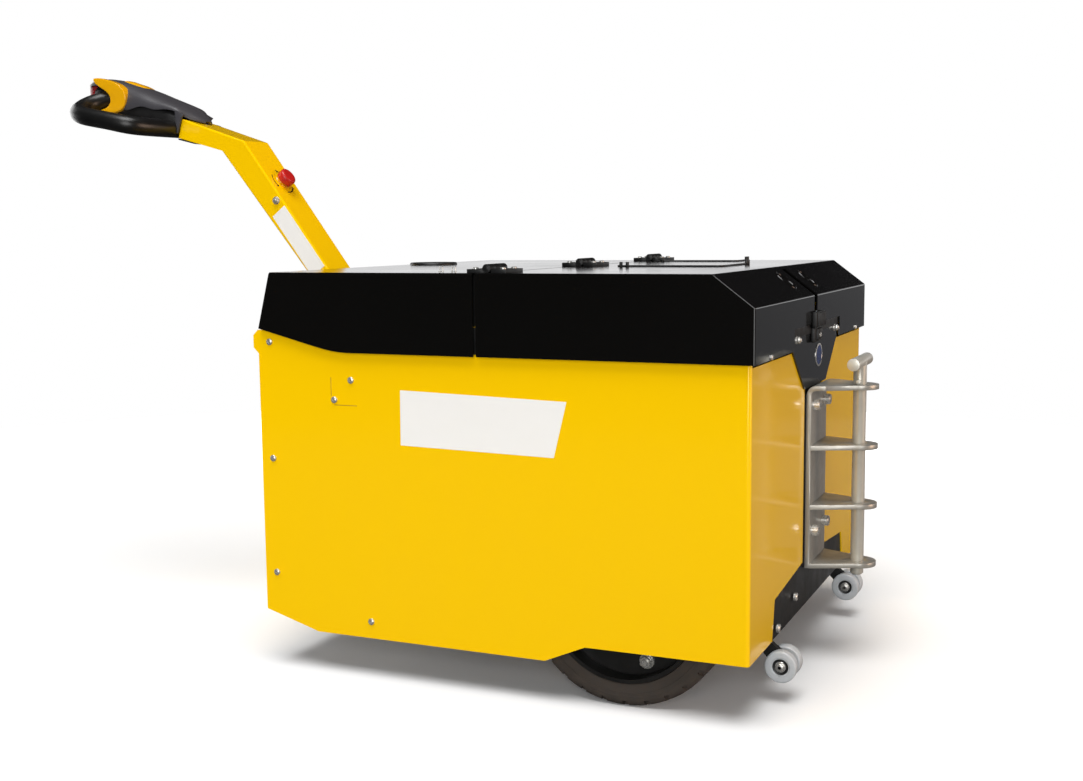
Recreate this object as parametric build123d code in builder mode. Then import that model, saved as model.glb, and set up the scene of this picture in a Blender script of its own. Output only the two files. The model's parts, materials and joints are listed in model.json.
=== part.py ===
from build123d import *
import os
from math import atan2, cos

# Electric tow tractor that a walking driver steers by a fixed handle arm.
# Millimetres. +X points towards the pin hitch, +Z up, and the floor is z = 0.
# The outline is symmetric about the plane y = 0, and x = 0 is halfway along.

os.makedirs("parts", exist_ok=True)

# Overall form
body_length = 868
hitch_reach = 104           # hitch nose beyond the lid's front face
handle_reach = 718          # tiller head's rear end behind the rear panel
handle_height = 1083
cover_half_width = 425
cover_top_z = 685
skirt_z = 553               # lower edge of both black covers
cover_wall = 2.5
cover_edge_radius = 4
overall_length = handle_reach + body_length + hitch_reach
hitch_tip_x = overall_length / 2
head_rear_x = -overall_length / 2

# Lid and rear cover
lid_front_x = hitch_tip_x - hitch_reach
lid_length = 452
lid_slope_run = 63
lid_slope_drop = 48
lid_seam_gap = 5
lid_slot_width = 24
lid_slot_top_drop = 5       # upper end of the slot below the cover's top
lid_slot_floor = 50         # lower end of the slot above the skirt's edge
rear_foot_step = 7          # rear cover's foot ahead of the rear panel
rear_foot_z = 590
rear_slope_run = 25
skirt_rise_run = 149        # length of the stretch where the rear skirt rises to its foot
skirt_bend_radius = 250
tongue_inset = 13           # hinge tongue's end inside the cover's side
tongue_side_gap = 5
tongue_step_gap = 6

# Hinges of the lid
hinge_offset = 19           # hinge axis ahead of the seam in the skirts
hinge_leaf_length = 26
hinge_leaf_width = 64
hinge_leaf_thickness = 6
hinge_knuckle_radius = 7
hinge_pin_radius = 3
hinge_side_inset = 40
running_gap = 0.05          # radial clearance of every shaft in its hole

# Yellow panels
panel_wall = 2.5
corner_radius = 6           # outer radius of the fold at the front corner
panel_side_gap = 6.5        # skirt's inside to panel's outside
panel_set_back = 7.5        # front return behind the lid's front face
panel_top_z = 600
panel_floor_z = 100
belly_z = 70
belly_rear_run = 104        # rear panel to the start of the level belly
belly_ramp_lead = 119       # end of the level belly behind the drive axle
belly_front_lead = 50       # end of the ramp behind the drive axle
return_inner_y = 70
return_notch_inset = 141    # notch's side inside the panel's outside
return_step_z = 180
return_top_gap = 5
return_corner_rise = 5
cover_corner_run = 16       # panel's top corner ahead of the rear cover's foot
lip_corner_run = 12

# Frame plates
plate = 6
deck_z = 345                # underside of the battery deck
frame_tyre_gap = 9          # frame's side plate to the tyre's inner face
frame_floor_z = 110
front_floor_z = 98
rear_bulkhead_floor_z = 150
bulkhead_top_z = 545
pad_margin = 4
divider_lead = 9            # divider's rear face behind the seam in the skirts
divider_side_gap = 1.5

# Drive wheels and drive unit
drive_set_back = 221        # axle behind the lid's front face
drive_radius = 168
tyre_width = 80
tyre_inset = 31             # tyre's outer face inside the yellow panel's outside
tyre_shoulder = 9
sidewall_crown = 4
rim_radius = 129
rim_wall = 6
dish_depth = 30             # wheel disc behind the tyre's outer face
dish_thickness = 8
hub_boss_radius = 60
hub_shaft_radius = 17.5
hub_hole_margin = 12
axle_tube_radius = 45
axle_tube_bore_depth = 60
gearbox_share = 0.542       # of the room between the castor's beam and the drive axle
gearbox_height = 150
gearbox_half_width = 110
gearbox_corner = 30
gearbox_rise = 5            # gearbox centre above the axle
motor_radius = 62
motor_share = 0.488         # of the same room
motor_rib_count = 5

# Rear castor
castor_set_forward = 152    # pivot ahead of the rear panel
castor_trail = 45
castor_radius = 75
castor_tyre_width = 40
castor_tyre_gap = 6
castor_tyre_depth = 20
castor_side_gap = 5
castor_fork_wall = 6
castor_crown_gap = 7        # tyre to the underside of the fork's crown
castor_crown_thickness = 8
swivel_head_height = 7      # fork's boss under the bearing
castor_axle_radius = 8
kingpin_radius = 10
bearing_radius = 38
bearing_height = 12
castor_beam_length = 240

# Guide rollers under the hitch
roller_lead = 7             # roller axle ahead of the lid's front face
roller_floor_gap = 35.2
roller_radius = 25.8
roller_width = 18
roller_gap = 13
roller_hub_radius = 14
roller_notch_gap = 17       # roller pair's centre inside the notch of the return
roller_axle_radius = 5

# Pin hitch
hitch_plate = 8
hitch_face_step = 2         # hitch's front face ahead of the lid's front face
hitch_root_half = 61
hitch_nose_radius = 32
hitch_bottom_z = 168
hitch_pitch = 102.7
hitch_levels = 4
hitch_bend_radius = 16
pin_radius = 11.25
pin_drop = 17               # pin's end below the lowest plate
pin_handle_rise = 38        # cross handle above the top plate
pin_handle_radius = 10.5
pin_handle_length = 125
stop_pin_radius = 4
stop_pin_reach = 6
stop_pin_gap = 0.3
screw_head_radius = 9
screw_head_length = 12
screw_end_margin = 34       # hitch screws from the ends of the back plate
screw_half_spacing = 42

# Batteries on the deck
battery_height = 215
battery_gap = 10
battery_side_margin = 63.5
battery_end_margin = 39.5

# Handle arm
arm_width = 85
arm_wall = 3
arm_edge_radius = 4
base_plate = 10
arm_foot_z = 561.8          # upper edge of the arm's foot on the rear panel
arm_foot_height = 57.6
arm_bend_drop = 147.5       # upper bend below the top of the head
arm_bend_depth = (-56, -17.5)
arm_top_run = (-150.6, 49.3)
arm_top_depth = (-10.4, -38.1)
bracket_cheek = 8

# Tiller head
head_length = 279.4
grip_radius = 18.5
grip_front_radius = 55
grip_side_radius = 60
grip_rear_radius = 40
lever_gap = 3.5             # lever's inner arc outside the grip
lever_radii = (51, 37)
lever_y = 40                # lever's inner face from the middle
lever_width = 18
button_reach = 9            # rear button beyond the pod

# Derived places
panel_rear_x = lid_front_x - body_length
panel_outer_y = cover_half_width - cover_wall - panel_side_gap
panel_inner_y = panel_outer_y - panel_wall
panel_front_x = lid_front_x - panel_set_back
return_notch_y = panel_outer_y - return_notch_inset
return_back_x = panel_front_x - panel_wall
return_top_z = skirt_z - return_top_gap
bulkhead_x = return_back_x - plate
frame_rear_x = panel_rear_x + panel_wall
rear_plate_front_x = frame_rear_x + plate
tyre_outer_y = panel_outer_y - tyre_inset
tyre_inner_y = tyre_outer_y - tyre_width
frame_side_y = tyre_inner_y - frame_tyre_gap - plate
drive_x = lid_front_x - drive_set_back
lid_seam_x = lid_front_x - lid_length
divider_x = lid_seam_x - divider_lead
divider_half_width = panel_inner_y - divider_side_gap
hinge_x = lid_seam_x + hinge_offset
hinge_axis_z = cover_top_z + hinge_knuckle_radius
tongue_half_width = cover_half_width - tongue_inset
rear_foot_x = panel_rear_x + rear_foot_step
rear_top_x = rear_foot_x + rear_slope_run
skirt_rise_x = rear_foot_x + skirt_rise_run
rear_panel_top_z = rear_foot_z - 3
hitch_face_x = lid_front_x + hitch_face_step
hitch_back_x = hitch_face_x - hitch_plate
pin_x = hitch_tip_x - hitch_nose_radius
hitch_levels_z = [hitch_bottom_z + hitch_plate / 2 + n * hitch_pitch for n in range(hitch_levels)]
hitch_top_z = hitch_levels_z[-1] + hitch_plate / 2
roller_x = lid_front_x + roller_lead
roller_z = roller_floor_gap + roller_radius
roller_y = return_notch_y - roller_notch_gap
castor_pivot_x = panel_rear_x + castor_set_forward
castor_axle_x = castor_pivot_x - castor_trail
fork_crown_z = 2 * castor_radius + castor_crown_gap
crown_top_z = fork_crown_z + castor_crown_thickness
bearing_floor_z = crown_top_z + swivel_head_height
castor_plate_z = bearing_floor_z + bearing_height + plate
fork_inner_y = castor_tyre_gap / 2 + castor_tyre_width + castor_side_gap
fork_outer_y = fork_inner_y + castor_fork_wall


def side_plane(y):
    """Upright plane at y whose extrusions go towards -Y; local axes are X and Z."""
    return Plane.XZ.offset(-y)


def slope_point(z, inset=0.0):
    """Point at height z on the rear cover's sloping back, moved inwards by inset."""
    lean = rear_slope_run / (cover_top_z - rear_foot_z)
    return (rear_top_x - (cover_top_z - z) * lean + inset / cos(atan2(lean, 1)), z)


def finish(builder, label):
    builder.part.label = label
    export_step(builder.part, f"parts/{label}.step")


# Frame: two side plates, the battery deck, cross plates front, middle and rear
frame_rise_height = 40
frame_rise_run = 120
for label, side in (("frame_side_right", -1), ("frame_side_left", 1)):
    y_high = side * frame_side_y if side < 0 else frame_side_y + plate
    with BuildPart() as frame_side:
        with BuildSketch(side_plane(y_high)):
            Polygon(
                (rear_plate_front_x, frame_floor_z + frame_rise_height),
                (rear_plate_front_x + frame_rise_run, frame_floor_z),
                (bulkhead_x, frame_floor_z),
                (bulkhead_x, deck_z),
                (rear_plate_front_x, deck_z),
                align=None,
            )
            with Locations((drive_x, drive_radius)):
                Circle(hub_shaft_radius + hub_hole_margin, mode=Mode.SUBTRACT)
        extrude(amount=plate)
    finish(frame_side, label)

with BuildPart() as battery_deck:
    with BuildSketch(Plane.XY.offset(deck_z)):
        with Locations(((rear_plate_front_x + bulkhead_x) / 2, 0)):
            Rectangle(bulkhead_x - rear_plate_front_x, 2 * panel_inner_y)
    extrude(amount=plate)
finish(battery_deck, "battery_deck")

pad_top_z = hitch_top_z - hitch_bend_radius - pad_margin
with BuildPart() as front_bulkhead:
    with BuildSketch(Plane.YZ.offset(bulkhead_x)):
        with Locations((0, (front_floor_z + bulkhead_top_z) / 2)):
            Rectangle(2 * (panel_inner_y - corner_radius), bulkhead_top_z - front_floor_z)
    extrude(amount=plate)
    with BuildSketch(Plane.YZ.offset(return_back_x)):
        with Locations((0, (hitch_bottom_z + pad_top_z) / 2)):
            Rectangle(2 * (hitch_root_half - pad_margin), pad_top_z - hitch_bottom_z)
    extrude(amount=hitch_back_x - return_back_x)
finish(front_bulkhead, "front_bulkhead")

with BuildPart() as rear_bulkhead:
    with BuildSketch(Plane.YZ.offset(frame_rear_x)):
        with Locations((0, (rear_bulkhead_floor_z + bulkhead_top_z) / 2)):
            Rectangle(2 * panel_inner_y, bulkhead_top_z - rear_bulkhead_floor_z)
    extrude(amount=plate)
finish(rear_bulkhead, "rear_bulkhead")

divider_floor_z = deck_z + plate
divider_top_z = cover_top_z - cover_wall
with BuildPart() as bay_divider:
    with BuildSketch(Plane.YZ.offset(divider_x)):
        with Locations((0, (divider_floor_z + divider_top_z) / 2)):
            Rectangle(2 * divider_half_width, divider_top_z - divider_floor_z)
    extrude(amount=plate)
finish(bay_divider, "bay_divider")

# Yellow side panels, each folded round the front corner
belly_rear_x = panel_rear_x + belly_rear_run
belly_ramp_x = drive_x - belly_ramp_lead
belly_front_x = drive_x - belly_front_lead
side_outline = (
    (panel_rear_x, panel_floor_z),
    (belly_rear_x, belly_z),
    (belly_ramp_x, belly_z),
    (belly_front_x, panel_floor_z),
    (panel_front_x, panel_floor_z),
    (panel_front_x, panel_top_z),
    (rear_foot_x + cover_corner_run, panel_top_z),
    (rear_foot_x + lip_corner_run, rear_panel_top_z),
    (panel_rear_x, rear_panel_top_z),
)
return_step_run = 13
return_step_drop = 16
for label, side in (("side_panel_right", -1), ("side_panel_left", 1)):
    with BuildPart() as side_panel:
        with BuildSketch(Plane.XY.offset(belly_z)):
            with BuildLine():
                FilletPolyline(
                    (panel_rear_x, side * panel_outer_y),
                    (panel_front_x, side * panel_outer_y),
                    (panel_front_x, side * return_inner_y),
                    radius=corner_radius,
                )
                FilletPolyline(
                    (panel_rear_x, side * panel_inner_y),
                    (return_back_x, side * panel_inner_y),
                    (return_back_x, side * return_inner_y),
                    radius=corner_radius - panel_wall,
                )
                Line((panel_rear_x, side * panel_outer_y), (panel_rear_x, side * panel_inner_y))
                Line((panel_front_x, side * return_inner_y), (return_back_x, side * return_inner_y))
            make_face()
        extrude(amount=panel_top_z - belly_z)
        with BuildSketch(side_plane(cover_half_width)):
            Polygon(*side_outline, align=None)
        extrude(amount=2 * cover_half_width, mode=Mode.INTERSECT)
        with BuildSketch(Plane.YZ.offset(panel_front_x - corner_radius)):
            Polygon(
                (side * return_inner_y, return_step_z),
                (side * (return_notch_y - return_step_run), return_step_z - return_step_drop),
                (side * return_notch_y, panel_floor_z + return_corner_rise),
                (side * return_notch_y, belly_z),
                (0, belly_z),
                (0, return_step_z),
                align=None,
            )
            Polygon(
                (0, return_top_z),
                (side * (panel_outer_y - corner_radius), return_top_z),
                (side * (panel_outer_y - corner_radius), panel_top_z),
                (0, panel_top_z),
                align=None,
            )
        extrude(amount=corner_radius, mode=Mode.SUBTRACT)
    finish(side_panel, label)

lip_inner_y = 120
lip_height = 40
lip_depth = 12
with BuildPart() as rear_panel:
    with BuildSketch(Plane.YZ.offset(panel_rear_x)):
        with Locations((0, (panel_floor_z + rear_panel_top_z) / 2)):
            Rectangle(2 * panel_inner_y, rear_panel_top_z - panel_floor_z)
    extrude(amount=panel_wall)
    with BuildSketch(Plane.YZ.offset(panel_rear_x)):
        for side in (-1, 1):
            with Locations((side * (panel_inner_y + lip_inner_y) / 2, rear_panel_top_z - lip_height / 2)):
                Rectangle(panel_inner_y - lip_inner_y, lip_height)
    extrude(amount=-lip_depth)
    lip_edges = rear_panel.edges().filter_by(Axis.Y).group_by(Axis.X)[0]
    chamfer(lip_edges, lip_depth - panel_wall)
finish(rear_panel, "rear_panel")

# Front vee plate below the lid's latch
vee_half_width = 174
vee_tip_half_width = 83
vee_tip_z = 481
vee_top_rise = 30           # vee plate's top above the skirt's edge
vee_side_gap = 5
vee_thickness = 3
vee_top_z = skirt_z + vee_top_rise
with BuildPart() as front_vee_plate:
    with BuildSketch(Plane.YZ.offset(panel_front_x)):
        Polygon(
            (-vee_half_width, vee_top_z),
            (-vee_half_width, skirt_z),
            (-vee_tip_half_width, vee_tip_z),
            (vee_tip_half_width, vee_tip_z),
            (vee_half_width, skirt_z),
            (vee_half_width, vee_top_z),
            align=None,
        )
    extrude(amount=vee_thickness)
finish(front_vee_plate, "front_vee_plate")

# Black covers: the fixed rear cover and the lid
with BuildPart() as rear_cover:
    with BuildSketch(side_plane(cover_half_width)) as cover_side:
        Polygon(
            (rear_top_x, cover_top_z),
            (rear_foot_x, rear_foot_z),
            (skirt_rise_x, skirt_z),
            (lid_seam_x - lid_seam_gap / 2, skirt_z),
            (lid_seam_x - lid_seam_gap / 2, cover_top_z),
            align=None,
        )
        fillet(cover_side.vertices().group_by(Axis.Y)[0].sort_by(Axis.X)[0], skirt_bend_radius)
    extrude(amount=2 * cover_half_width)
    fillet(rear_cover.edges().group_by(Axis.Z)[-1].filter_by(Axis.X), cover_edge_radius)
    with BuildSketch(side_plane(cover_half_width - cover_wall)):
        Polygon(
            slope_point(cover_top_z - cover_wall, cover_wall),
            slope_point(skirt_z - cover_wall, cover_wall),
            (lid_seam_x, skirt_z - cover_wall),
            (lid_seam_x, cover_top_z - cover_wall),
            align=None,
        )
    extrude(amount=2 * (cover_half_width - cover_wall), mode=Mode.SUBTRACT)
    with BuildSketch(Plane.XY.offset(cover_top_z - cover_wall)):
        with Locations(((divider_x + hinge_x - tongue_step_gap / 2) / 2, 0)):
            Rectangle(hinge_x - tongue_step_gap / 2 - divider_x, 2 * tongue_half_width)
    extrude(amount=cover_wall)
finish(rear_cover, "rear_cover")

latch_y = -15
slot_y = -25
lid_rear_x = lid_seam_x + lid_seam_gap / 2
slope_knee_x = lid_front_x - lid_slope_run
slot_floor_z = skirt_z + lid_slot_floor
slot_top_z = cover_top_z - lid_slot_top_drop
with BuildPart() as lid_shell:
    with BuildSketch(side_plane(cover_half_width)):
        Polygon(
            (lid_rear_x, skirt_z),
            (lid_front_x, skirt_z),
            (lid_front_x, cover_top_z - lid_slope_drop),
            (slope_knee_x, cover_top_z),
            (lid_rear_x, cover_top_z),
            align=None,
        )
    extrude(amount=2 * cover_half_width)
    open_faces = lid_shell.faces().filter_by(Axis.Z).sort_by(Axis.Z)[:1]
    open_faces += lid_shell.faces().filter_by(Axis.X).sort_by(Axis.X)[:1]
    offset(amount=-cover_wall, openings=open_faces)
    with BuildSketch(Plane.XY.offset(cover_top_z - 2 * cover_wall)):
        with Locations(((lid_rear_x + hinge_x + tongue_step_gap / 2) / 2, 0)):
            Rectangle(
                hinge_x + tongue_step_gap / 2 - lid_rear_x,
                2 * (tongue_half_width + tongue_side_gap),
            )
    extrude(amount=3 * cover_wall, mode=Mode.SUBTRACT)
    with BuildSketch(Plane.YZ.offset(lid_front_x - 2 * cover_wall)):
        with Locations((0, (skirt_z + vee_top_z) / 2)):
            Rectangle(2 * (vee_half_width + vee_side_gap), vee_top_z - skirt_z + 2 * vee_side_gap)
    extrude(amount=3 * cover_wall, mode=Mode.SUBTRACT)
    with BuildSketch(Plane.YZ.offset(slope_knee_x)):
        with Locations((slot_y, (slot_floor_z + slot_top_z) / 2)):
            SlotOverall(slot_top_z - slot_floor_z, lid_slot_width, rotation=90)
            with Locations((0, (slot_top_z - slot_floor_z) / 4)):
                Rectangle(lid_slot_width, (slot_top_z - slot_floor_z) / 2)
    extrude(amount=lid_slope_run + cover_wall, mode=Mode.SUBTRACT)
finish(lid_shell, "lid_shell")

# Hinges: the rear leaf carries the outer knuckles and the pin, the lid leaf the middle one
knuckle_width = hinge_leaf_width / 3
knuckle_gap = 0.5
leaf_start = hinge_knuckle_radius + 1
hinge_side_y = cover_half_width - hinge_side_inset
hinge_rows = (-hinge_side_y, 0, hinge_side_y)
with BuildPart() as hinge_rear_leaves:
    for y in hinge_rows:
        with BuildSketch(Plane.XY.offset(cover_top_z)):
            with Locations((hinge_x - leaf_start - hinge_leaf_length / 2, y)):
                Rectangle(hinge_leaf_length, hinge_leaf_width)
            for step in (-1, 1):
                with Locations((hinge_x - leaf_start / 2, y + step * knuckle_width)):
                    Rectangle(leaf_start, knuckle_width - knuckle_gap)
        extrude(amount=hinge_leaf_thickness)
        for step in (-1, 1):
            with BuildSketch(side_plane(y + step * knuckle_width + knuckle_width / 2 - knuckle_gap / 2)):
                with Locations((hinge_x, hinge_axis_z)):
                    Circle(hinge_knuckle_radius)
            extrude(amount=knuckle_width - knuckle_gap)
        with BuildSketch(side_plane(y + hinge_leaf_width / 2)):
            with Locations((hinge_x, hinge_axis_z)):
                Circle(hinge_pin_radius)
        extrude(amount=hinge_leaf_width)
finish(hinge_rear_leaves, "hinge_rear_leaves")

with BuildPart() as hinge_lid_leaves:
    for y in hinge_rows:
        with BuildSketch(Plane.XY.offset(cover_top_z)):
            with Locations((hinge_x + leaf_start + hinge_leaf_length / 2, y)):
                Rectangle(hinge_leaf_length, hinge_leaf_width)
            with Locations((hinge_x + leaf_start / 2, y)):
                Rectangle(leaf_start, knuckle_width - knuckle_gap)
        extrude(amount=hinge_leaf_thickness)
        with BuildSketch(side_plane(y + knuckle_width / 2 - knuckle_gap / 2)):
            with Locations((hinge_x, hinge_axis_z)):
                Circle(hinge_knuckle_radius)
        extrude(amount=knuckle_width - knuckle_gap)
        with BuildSketch(side_plane(y + knuckle_width / 2 - knuckle_gap / 2)):
            with Locations((hinge_x, hinge_axis_z)):
                Circle(hinge_pin_radius + running_gap)
        extrude(amount=knuckle_width - knuckle_gap, mode=Mode.SUBTRACT)
finish(hinge_lid_leaves, "hinge_lid_leaves")

# Pin hitch: bent back plate with four nose plates, and the pin with its cross handle
hitch_top_reach = 3 * hitch_plate
with BuildPart() as hitch_bracket:
    with BuildSketch(side_plane(hitch_root_half)):
        with BuildLine():
            FilletPolyline(
                (hitch_back_x, hitch_bottom_z),
                (hitch_back_x, hitch_top_z),
                (hitch_face_x + hitch_top_reach, hitch_top_z),
                radius=hitch_bend_radius,
            )
            FilletPolyline(
                (hitch_face_x, hitch_bottom_z),
                (hitch_face_x, hitch_top_z - hitch_plate),
                (hitch_face_x + hitch_top_reach, hitch_top_z - hitch_plate),
                radius=hitch_bend_radius - hitch_plate,
            )
            Line((hitch_back_x, hitch_bottom_z), (hitch_face_x, hitch_bottom_z))
            Line(
                (hitch_face_x + hitch_top_reach, hitch_top_z),
                (hitch_face_x + hitch_top_reach, hitch_top_z - hitch_plate),
            )
        make_face()
    extrude(amount=2 * hitch_root_half)
    for index, level in enumerate(hitch_levels_z):
        root_x = hitch_face_x if index < hitch_levels - 1 else hitch_face_x + 2 * hitch_plate
        with BuildSketch(Plane.XY.offset(level - hitch_plate / 2)):
            with BuildLine():
                Line((root_x, -hitch_root_half), (root_x, hitch_root_half))
                Line((root_x, hitch_root_half), (pin_x, hitch_nose_radius))
                RadiusArc((pin_x, hitch_nose_radius), (pin_x, -hitch_nose_radius), hitch_nose_radius)
                Line((pin_x, -hitch_nose_radius), (root_x, -hitch_root_half))
            make_face()
            with Locations((pin_x, 0)):
                Circle(pin_radius + running_gap, mode=Mode.SUBTRACT)
        extrude(amount=hitch_plate)
finish(hitch_bracket, "hitch_bracket")

pin_bottom_z = hitch_bottom_z - pin_drop
pin_handle_z = hitch_top_z + pin_handle_rise
pin_nose = 3
with BuildPart() as hitch_pin:
    with BuildSketch(Plane.XY.offset(pin_bottom_z)):
        with Locations((pin_x, 0)):
            Circle(pin_radius)
    extrude(amount=pin_handle_z - pin_bottom_z)
    chamfer(hitch_pin.edges().sort_by(Axis.Z)[0], pin_nose)
    with BuildSketch(side_plane(pin_handle_length / 2)):
        with Locations((pin_x, pin_handle_z)):
            Circle(pin_handle_radius)
    extrude(amount=pin_handle_length)
    with BuildSketch(side_plane(pin_radius + stop_pin_reach)):
        with Locations((pin_x, hitch_top_z + stop_pin_radius + stop_pin_gap)):
            Circle(stop_pin_radius)
    extrude(amount=2 * (pin_radius + stop_pin_reach))
finish(hitch_pin, "hitch_pin")

# Drive unit between the frame's side plates: gearbox, axle tubes and a ribbed motor
drive_room = drive_x - castor_pivot_x - plate - castor_beam_length / 2
gearbox_length = gearbox_share * drive_room
motor_length = motor_share * drive_room
gearbox_x = drive_x - gearbox_length / 10
gearbox_z = drive_radius + gearbox_rise
motor_front_x = gearbox_x - gearbox_length / 2
motor_z = gearbox_z + 10
motor_rib_width = 8
motor_rib_height = 5
with BuildPart() as drive_unit:
    with BuildSketch(side_plane(frame_side_y)):
        with Locations((drive_x, drive_radius)):
            Circle(axle_tube_radius)
    extrude(amount=2 * frame_side_y)
    with BuildSketch(side_plane(gearbox_half_width)):
        with Locations((gearbox_x, gearbox_z)):
            RectangleRounded(gearbox_length, gearbox_height, gearbox_corner)
    extrude(amount=2 * gearbox_half_width)
    with BuildSketch(Plane.YZ.offset(motor_front_x - motor_length)):
        with Locations((0, motor_z)):
            Circle(motor_radius)
    extrude(amount=motor_length + gearbox_corner)
    for rib in range(motor_rib_count):
        rib_x = motor_front_x - (rib + 1) * motor_length / (motor_rib_count + 1)
        with BuildSketch(Plane.YZ.offset(rib_x - motor_rib_width / 2)):
            with Locations((0, motor_z)):
                Circle(motor_radius + motor_rib_height)
        extrude(amount=motor_rib_width)
    for side in (-1, 1):
        with BuildSketch(side_plane(frame_side_y if side > 0 else -frame_side_y + axle_tube_bore_depth)):
            with Locations((drive_x, drive_radius)):
                Circle(hub_shaft_radius + running_gap)
        extrude(amount=axle_tube_bore_depth, mode=Mode.SUBTRACT)
finish(drive_unit, "drive_unit")

# Drive wheels: turned tyre, and a dished rim with its hub shaft
shaft_end_gap = 5
shaft_inner_y = frame_side_y - axle_tube_bore_depth + shaft_end_gap
disc_y = tyre_outer_y - dish_depth
for label, side in (("right", -1), ("left", 1)):
    wheel_plane = Plane(origin=(drive_x, 0, drive_radius), x_dir=(1, 0, 0), z_dir=(0, 0, 1))
    with BuildPart() as drive_tyre:
        with BuildSketch(wheel_plane):
            Polygon(
                (rim_radius, side * tyre_inner_y),
                (drive_radius - tyre_shoulder - 12, side * (tyre_inner_y - sidewall_crown)),
                (drive_radius - tyre_shoulder, side * (tyre_inner_y - sidewall_crown)),
                (drive_radius, side * (tyre_inner_y + tyre_shoulder)),
                (drive_radius, side * (tyre_outer_y - tyre_shoulder)),
                (drive_radius - tyre_shoulder, side * tyre_outer_y),
                (rim_radius, side * tyre_outer_y),
                align=None,
            )
        revolve(axis=Axis((drive_x, 0, drive_radius), (0, 1, 0)))
    finish(drive_tyre, f"drive_tyre_{label}")
    with BuildPart() as drive_rim:
        with BuildSketch(wheel_plane):
            Polygon(
                (0, side * shaft_inner_y),
                (hub_shaft_radius, side * shaft_inner_y),
                (hub_shaft_radius, side * tyre_inner_y),
                (hub_boss_radius, side * tyre_inner_y),
                (hub_boss_radius + 6, side * (disc_y - dish_thickness)),
                (rim_radius - rim_wall, side * (disc_y - dish_thickness)),
                (rim_radius - rim_wall, side * tyre_inner_y),
                (rim_radius, side * tyre_inner_y),
                (rim_radius, side * tyre_outer_y),
                (rim_radius - rim_wall, side * tyre_outer_y),
                (rim_radius - rim_wall, side * disc_y),
                (hub_boss_radius, side * disc_y),
                (hub_boss_radius - 10, side * (disc_y + 8)),
                (0, side * (disc_y + 8)),
                align=None,
            )
        revolve(axis=Axis((drive_x, 0, drive_radius), (0, 1, 0)))
    finish(drive_rim, f"drive_rim_{label}")

# Rear castor: fixed plate with its bearing, swivelling fork, twin wheels on one axle
castor_plate_length = 140
castor_plate_width = 110
castor_plate_corner = 12
with BuildPart() as castor_beam:
    with BuildSketch(Plane.XY.offset(castor_plate_z)):
        with Locations((castor_pivot_x + plate, 0)):
            Rectangle(castor_beam_length, 2 * frame_side_y)
    extrude(amount=2 * plate)
finish(castor_beam, "castor_beam")

with BuildPart() as castor_mount:
    with BuildSketch(Plane.XY.offset(castor_plate_z - plate)):
        with Locations((castor_pivot_x, 0)):
            RectangleRounded(castor_plate_length, castor_plate_width, castor_plate_corner)
    extrude(amount=plate)
    with BuildSketch(Plane.XY.offset(bearing_floor_z)):
        with Locations((castor_pivot_x, 0)):
            Circle(bearing_radius)
    extrude(amount=bearing_height)
    with BuildSketch(Plane.XY.offset(bearing_floor_z)):
        with Locations((castor_pivot_x, 0)):
            Circle(kingpin_radius + running_gap)
    extrude(amount=plate + bearing_height, mode=Mode.SUBTRACT)
finish(castor_mount, "castor_mount")

fork_front_reach = 38
fork_rear_reach = 48
fork_front_x = castor_pivot_x + fork_front_reach
fork_rear_x = castor_pivot_x - fork_rear_reach
fork_foot_half = 15
fork_foot_drop = 14
with BuildPart() as castor_fork:
    with BuildSketch(side_plane(fork_outer_y)) as fork_side:
        Polygon(
            (fork_front_x, crown_top_z),
            (fork_rear_x, crown_top_z),
            (castor_axle_x - fork_foot_half, castor_radius),
            (castor_axle_x - fork_foot_half, castor_radius - fork_foot_drop),
            (castor_axle_x + fork_foot_half, castor_radius - fork_foot_drop),
            (fork_front_x, fork_crown_z - fork_foot_drop),
            align=None,
        )
        fillet(fork_side.vertices().group_by(Axis.Y)[0], fork_foot_half - 3)
    extrude(amount=2 * fork_outer_y)
    with BuildSketch(side_plane(fork_inner_y)):
        with Locations((castor_pivot_x, fork_crown_z / 2)):
            Rectangle(4 * castor_radius, fork_crown_z)
    extrude(amount=2 * fork_inner_y, mode=Mode.SUBTRACT)
    with BuildSketch(side_plane(fork_outer_y)):
        with Locations((castor_axle_x, castor_radius)):
            Circle(castor_axle_radius + running_gap)
    extrude(amount=2 * fork_outer_y, mode=Mode.SUBTRACT)
    with BuildSketch(Plane.XY.offset(crown_top_z)):
        with Locations((castor_pivot_x, 0)):
            Circle(bearing_radius - 6)
    extrude(amount=swivel_head_height - 0.3)
    with BuildSketch(Plane.XY.offset(fork_crown_z)):
        with Locations((castor_pivot_x, 0)):
            Circle(kingpin_radius)
    extrude(amount=castor_plate_z - 1 - fork_crown_z)
finish(castor_fork, "castor_fork")

castor_centre_y = (castor_tyre_gap + castor_tyre_width) / 2
castor_edge = 4
with BuildPart() as castor_tyres:
    for side in (-1, 1):
        with BuildSketch(side_plane(side * castor_centre_y + castor_tyre_width / 2)):
            with Locations((castor_axle_x, castor_radius)):
                Circle(castor_radius)
                Circle(castor_radius - castor_tyre_depth, mode=Mode.SUBTRACT)
        extrude(amount=castor_tyre_width)
    chamfer(castor_tyres.edges().filter_by(GeomType.CIRCLE).group_by(SortBy.RADIUS)[-1], castor_edge)
finish(castor_tyres, "castor_tyres")

hub_recess = 3
with BuildPart() as castor_hubs:
    for side in (-1, 1):
        with BuildSketch(side_plane(side * castor_centre_y + castor_tyre_width / 2 - hub_recess)):
            with Locations((castor_axle_x, castor_radius)):
                Circle(castor_radius - castor_tyre_depth)
        extrude(amount=castor_tyre_width - 2 * hub_recess)
    with BuildSketch(side_plane(fork_outer_y + castor_fork_wall)):
        with Locations((castor_axle_x, castor_radius)):
            Circle(castor_axle_radius)
    extrude(amount=2 * (fork_outer_y + castor_fork_wall))
finish(castor_hubs, "castor_hubs")

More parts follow.
